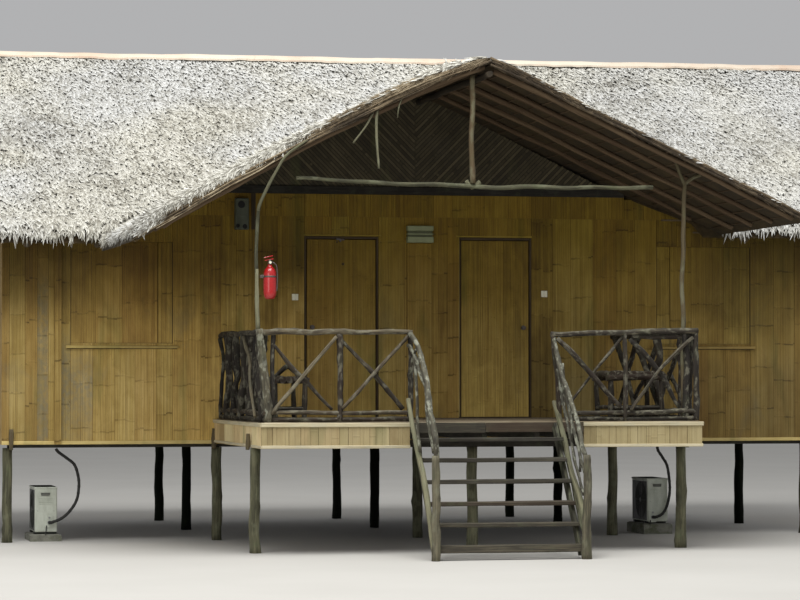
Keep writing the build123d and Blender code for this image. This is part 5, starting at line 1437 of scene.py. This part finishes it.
# ================================================================ fittings
def make_fittings():
    b = Build()
    rounded(b, -0.138, 0.145, -0.066, -0.0005, 3.315, 3.420, 0.010, mat=0)
    rounded(b, -0.144, 0.151, -0.088, -0.0005, 3.400, 3.455, 0.008, mat=1)
    rounded(b, -0.144, 0.151, -0.088, -0.0005, 3.268, 3.335, 0.008, mat=1)
    rounded(b, -0.144, 0.151, -0.074, -0.0005, 3.357, 3.371, 0.004, mat=1)
    b.make("lamp_box", [M_LAMP, M_LAMP2], replaces=["emergency_lamp"])
    b = Build()
    rounded(b, -2.071, -1.920, -0.088, -0.0005, 3.395, 3.740, 0.012)
    rounded(b, -2.064, -1.927, -0.094, -0.086, 3.535, 3.733, 0.003)
    for x, y, z, r in ((-2.006, -0.093, 3.668, 0.040), (-2.044, -0.0875, 3.436, 0.022), (-1.967, -0.0875, 3.428, 0.026)):
        disc(b, (x, y, z), (0, -1, 0), r * 1.15, r * 1.1, 0.002, 20, mat=0)
        disc(b, (x, y - 0.0015, z), (0, -1, 0), r, r * 0.92, 0.0035, 20, mat=1)
    b.make("wall_box_shell", [M_BOX, M_HOLE], replaces=["wall_box"])
    b = Build()
    for x0, x1, z0, z1 in ((-1.430, -1.360, 2.625, 2.695), (1.402, 1.472, 2.674, 2.744)):
        rounded(b, x0, x1, -0.014, -0.0005, z0, z1, 0.005)
        rounded(b, x0 + 0.022, x1 - 0.022, -0.020, -0.012, z0 + 0.02, z1 - 0.02, 0.003)
        for z in (z0 + 0.010, z1 - 0.010):
            disc(b, ((x0 + x1) / 2, -0.0135, z), (0, -1, 0), 0.003, 0.0028, 0.0015, 10, mat=1)
    b.make("switch_plates", [M_SWITCH, M_STEEL], replaces=["wall_switches"])
    b = Build()
    ex = -2.195
    disc(b, (ex, -2.98, 2.56), (0, 0, 1), 0, 0, 0, 28, profile=[(0.0, 0.034), (0.004, 0.041), (0.012, 0.049), (0.026, 0.057), (0.045, 0.062), (0.07, 0.064), (0.245, 0.064), (0.275, 0.060), (0.298, 0.050), (0.316, 0.034), (0.326, 0.023), (0.345, 0.021)])
    disc(b, (ex, -2.98, 2.900), (0, 0, 1), 0, 0, 0, 16, mat=1, profile=[(0, 0.021), (0.02, 0.022), (0.03, 0.017), (0.055, 0.015)])
    beam(b, (ex - 0.050, -2.98, 2.945), (ex + 0.035, -2.98, 2.962), 0.018, 0.010, 1410, step=0.04, ch=0.002)
    beam(b, (ex - 0.058, -2.98, 2.970), (ex + 0.030, -2.98, 2.994), 0.018, 0.008, 1411, step=0.04, ch=0.002)
    disc(b, (ex, -3.002, 2.925), (0, -1, 0), 0.013, 0.012, 0.012, 14, mat=2)
    pole(b, [(ex + 0.020, -2.985, 2.93), (ex + 0.062, -2.99, 2.90), (ex + 0.074, -2.99, 2.80), (ex + 0.072, -2.99, 2.70), (ex + 0.066, -2.99, 2.64)], [0.007, 0.007, 0.0085], 1412, 8, 0.02, 0.0, 0.0, 0.0, 0, 0.5, mat=1)
    disc(b, (ex, -2.98, 2.775), (0, 0, 1), 0, 0, 0, 28, mat=1, profile=[(0, 0.0645), (0.001, 0.0660), (0.017, 0.0660), (0.018, 0.0645)])
    beam(b, (-2.296, -2.98, 2.784), (-2.250, -2.98, 2.784), 0.030, 0.030, 1413, mat=1, step=0.03, ch=0.002)
    b.make("extinguisher_body", [M_RED, M_STEEL, M_SWITCH], replaces=["fire_extinguisher"])
    make_ac()


def make_ac():
    b = Build()
    for cx, z0 in ((-4.10, 0.080), (2.83, 0.120)):
        x0, x1, y0, y1, z1 = cx - 0.125, cx + 0.125, 0.25, 0.85, z0 + 0.51
        rounded(b, x0 + 0.006, x1, y0, y1, z0 + 0.02, z1, 0.014, 3)
        rounded(b, x0 - 0.0, x1 + 0.002, y0 - 0.004, y1 + 0.004, z1 - 0.022, z1, 0.008, 3)
        for yy in (y0 + 0.10, y1 - 0.10):
            beam(b, (x0 + 0.0, yy, z0 + 0.011), (x1 + 0.0, yy, z0 + 0.011), 0.05, 0.022, 1420, mat=1)
        # fan mouth, grille rings and spokes on the -X face
        fy, fz, r = (y0 + y1) / 2 - 0.06, z0 + 0.262, 0.205
        block(b, x0 + 0.0045, x0 + 0.0075, y0 + 0.022, y1 - 0.03, z0 + 0.035, z1 - 0.035, 0.5, mat=1)
        disc(b, (x0 + 0.0045, fy, fz), (-1, 0, 0), r, r * 0.985, 0.0012, 40, mat=1)
        for rr in np.linspace(0.03, r - 0.004, 10):
            th = np.arange(33) * TAU / 32
            ring = [(x0 + 0.001, fy + rr * math.cos(t), fz + rr * math.sin(t)) for t in th]
            path = np.array(ring)
            sec = []
            for p, t in zip(path[:-1], th[:-1]):
                o = np.array([0, math.cos(t), math.sin(t)])
                sec.append([p + o * 0.0022 + np.array([0.0022, 0, 0]), p - o * 0.0022 + np.array([0.0022, 0, 0]), p - o * 0.0022 - np.array([0.0022, 0, 0]), p + o * 0.0022 - np.array([0.0022, 0, 0])])
            sec = np.array(sec)
            n = len(sec)
            i = np.arange(n)[:, None] * 4
            i2 = ((np.arange(n) + 1) % n)[:, None] * 4
            j = np.arange(4)[None]
            q = np.stack([i + j, i + (j + 1) % 4, i2 + (j + 1) % 4, i2 + j], -1).reshape(-1, 4)
            b.add(sec.reshape(-1, 3), [q], (0.5, 0.5, 0, 0), None, 2)
        for t in np.arange(8) * TAU / 8:
            beam(b, (x0 - 0.001, fy + 0.028 * math.cos(t), fz + 0.028 * math.sin(t)), (x0 - 0.001, fy + (r + 0.004) * math.cos(t), fz + (r + 0.004) * math.sin(t)), 0.005, 0.004, 1430, side=(1, 0, 0), mat=2, step=0.1, ch=0.001)
        disc(b, (x0 + 0.0015, fy, fz), (-1, 0, 0), 0.036, 0.030, 0.006, 20, mat=2)
        # handle recess, ribs and valve plate on the end panel that faces the front
        rounded(b, cx - 0.050, cx + 0.045, y0 - 0.0022, y0 + 0.002, z1 - 0.095, z1 - 0.058, 0.012, 4, mat=4)
        beam(b, (cx - 0.058, y0 - 0.006, z1 - 0.058), (cx + 0.053, y0 - 0.006, z1 - 0.058), 0.012, 0.010, 1439, mat=0, step=0.1, ch=0.003)
        for k in range(4):
            z = z1 - 0.125 - 0.019 * k
            beam(b, (cx - 0.075, y0 - 0.001, z), (cx + 0.080, y0 - 0.001, z), 0.005, 0.007, 1440 + k, tone=0.5, mat=0, step=0.1, ch=0.002)
        vx, vz = (-4.06, 0.205) if cx < 0 else (2.775, 0.192)
        rounded(b, vx - 0.050, vx + 0.042, y0 - 0.008, y0 + 0.002, vz - 0.060, vz + 0.075, 0.006)
        for dz, r in ((0.0, 0.023), (0.052, 0.012)):
            disc(b, (vx, y0 - 0.006, vz + dz), (0, -1, 0), r, r * 0.9, 0.012, 14, mat=3)
        # thin drain hose beside the pipe
        pole(b, [(vx - 0.030, y0 - 0.008, vz - 0.035), (vx - 0.034, y0 - 0.030, vz - 0.060), (vx - 0.040, y0 - 0.034, z0 + 0.02), (vx - 0.046, y0 - 0.030, 0.02)], 0.006, 1445, 8, 0.03, 0.0, 0.001, 0.0, 0, 0.5, mat=1)
        for xx, zz in ((cx - 0.085, z0 + 0.25), (cx + 0.088, z0 + 0.25)):
            disc(b, (xx, y0 - 0.0005, zz), (0, -1, 0), 0.004, 0.004, 0.002, 10, mat=4)
        # coil fins on the +X and +Y faces
        for k in range(26):
            y = y0 + 0.05 + k * 0.02
            beam(b, (x1 + 0.0015, y, z0 + 0.06), (x1 + 0.0015, y, z1 - 0.05), 0.004, 0.005, 1460, side=(0, 1, 0), mat=3, step=0.3, ch=0.001)
        for k in range(9):
            x = x0 + 0.04 + k * 0.02
            beam(b, (x, y1 + 0.0015, z0 + 0.06), (x, y1 + 0.0015, z1 - 0.05), 0.005, 0.004, 1461, side=(0, 1, 0), mat=3, step=0.3, ch=0.001)
    b.make("condensers", [M_WHITE, M_GRILLE, M_GRILLE, M_ALU, M_VENT], replaces=["ac_units"])
    b = Build()
    rng = np.random.default_rng(14)
    for cx, h in ((-4.10, 0.079), (2.83, 0.119)):
        n, m = 15, 27
        gx, gy = np.linspace(cx - 0.17, cx + 0.17, n), np.linspace(0.21, 0.89, m)
        X, Y = np.meshgrid(gx, gy, indexing="ij")
        X2 = X + lowpass(rng.normal(size=(n, m)), 1, 0, False) * 0.004
        Y2 = Y + lowpass(rng.normal(size=(n, m)), 1, 0, False) * 0.004
        edge = np.minimum(np.minimum(X - gx[0], gx[-1] - X), np.minimum(Y - gy[0], gy[-1] - Y))
        ZT = h - 0.012 * np.exp(-((edge / 0.018) ** 2)) - np.abs(lowpass(rng.normal(size=(n, m)), 1, 0, False)) * 0.002
        skin(b, np.clip(X2, gx[0], gx[-1]), np.clip(Y2, gy[0], gy[-1]), np.zeros((n, m)), ZT, rng, 0, 0, amp=0.0)
    b.make("cement_stands", M_CONC, replaces=["ac_stands"])
    b = Build()
    for pts, seed in (([(-4.005, 0.105, 1.008), (-3.978, 0.110, 0.972), (-3.885, 0.135, 0.905), (-3.80, 0.162, 0.835), (-3.757, 0.185, 0.72), (-3.745, 0.197, 0.60), (-3.768, 0.206, 0.45), (-3.84, 0.210, 0.33), (-3.93, 0.213, 0.25), (-4.02, 0.214, 0.212), (-4.052, 0.222, 0.205), (-4.06, 0.240, 0.205)], 1470), ([(2.785, 0.105, 1.010), (2.797, 0.106, 0.95), (2.86, 0.132, 0.865), (2.918, 0.157, 0.775), (2.952, 0.178, 0.60), (2.955, 0.186, 0.46), (2.925, 0.195, 0.315), (2.875, 0.200, 0.23), (2.81, 0.204, 0.196), (2.782, 0.215, 0.192), (2.775, 0.240, 0.192)], 1471)):
        pole(b, pts, 0.016, seed, 12, 0.02, 0.02, 0.0, 0.02, 0)
        P = curve(pts, 0.11)
        T, _, _ = frames(P)
        for p, t in zip(P[1:-1], T[1:-1]):
            disc(b, p - t * 0.008, t, 0.0172, 0.0172, 0.016, 12, mat=0)
    b.make("pipe_insulation", M_FOAM, replaces=["ac_pipes"])


# =================================================================== seats
def make_seats():
    b = Build()
    rng = np.random.default_rng(21)
    for x0, x1, y0, y1, h, t, seed in ((-2.08, -1.70, -2.45, -1.75, 1.79, 0.045, 1500), (1.50, 2.12, -2.35, -1.75, 1.845, 0.09, 1540)):
        n = 5 if x1 - x0 < 0.5 else 8
        w = (x1 - x0) / n
        for k in range(n):
            x = x0 + (k + 0.5) * w
            pole(b, [(x, y0 + 0.005, h - w * 0.5), (x, y1 - 0.005, h - w * 0.5)], [w * 0.50, w * 0.47], seed + k, 10, 0.07, 0.05, 0.003, 0.05, 2, float(rng.uniform(0.15, 0.35)), 0.8)
        for y in (y0 + 0.035, y1 - 0.035):
            r = t * 0.42
            pole(b, [(x0 - 0.012, y, h - t + r * 0.7), (x1 + 0.012, y, h - t + r * 0.7)], [r * 1.1, r], seed + 10, 12, 0.06, 0.06, 0.004, 0.06, 2, 0.25, 0.85)
            pole(b, [(x0 + 0.03, y, 1.46), (x1 - 0.03, y, 1.46)], [0.020, 0.019], seed + 12, 10, 0.06, 0.06, 0.004, 0.06, 2, 0.2)
        for x in (x0 + 0.035, x1 - 0.035):
            for y in (y0 + 0.035, y1 - 0.035):
                pole(b, [(x + rng.uniform(-0.008, 0.008), y, 1.332), (x, y, 1.6), (x, y, h - 0.01)], [0.028, 0.025], int(seed + 14 + x * 7 + y * 11), 10, 0.05, 0.07, 0.004, 0.06, 3, 0.22 if x < x1 - 0.1 else 0.45)
            pole(b, [(x, y0 + 0.03, 1.46), (x, y1 - 0.03, 1.46)], [0.020, 0.019], seed + 13, 10, 0.06, 0.06, 0.004, 0.06, 2, 0.2)
    # bent branch that stands on the left seat as an arm rest
    pole(b, [(-2.00, -2.1, 1.775), (-1.92, -2.1, 1.845), (-1.85, -2.1, 1.895), (-1.785, -2.1, 1.85), (-1.73, -2.1, 1.775)], [0.024, 0.027, 0.030, 0.028, 0.026], 1590, 12, 0.03, 0.10, 0.003, 0.08, 5, 0.3, 0.5)
    b.make("branch_seats", M_LOG, replaces=["porch_seats"])


make_posts()
make_floor()
make_skirts()
make_walls()
make_lattice()
make_doors()
make_railings()
make_stair()
make_porch_frame()
make_main_thatch()
make_porch_thatch()
make_ridge()
make_fittings()
make_seats()

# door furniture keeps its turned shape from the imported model
for n in ("left_door_fittings", "right_door_fittings"):
    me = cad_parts[n].data
    me.materials.clear()
    me.materials.append(M_STEEL)
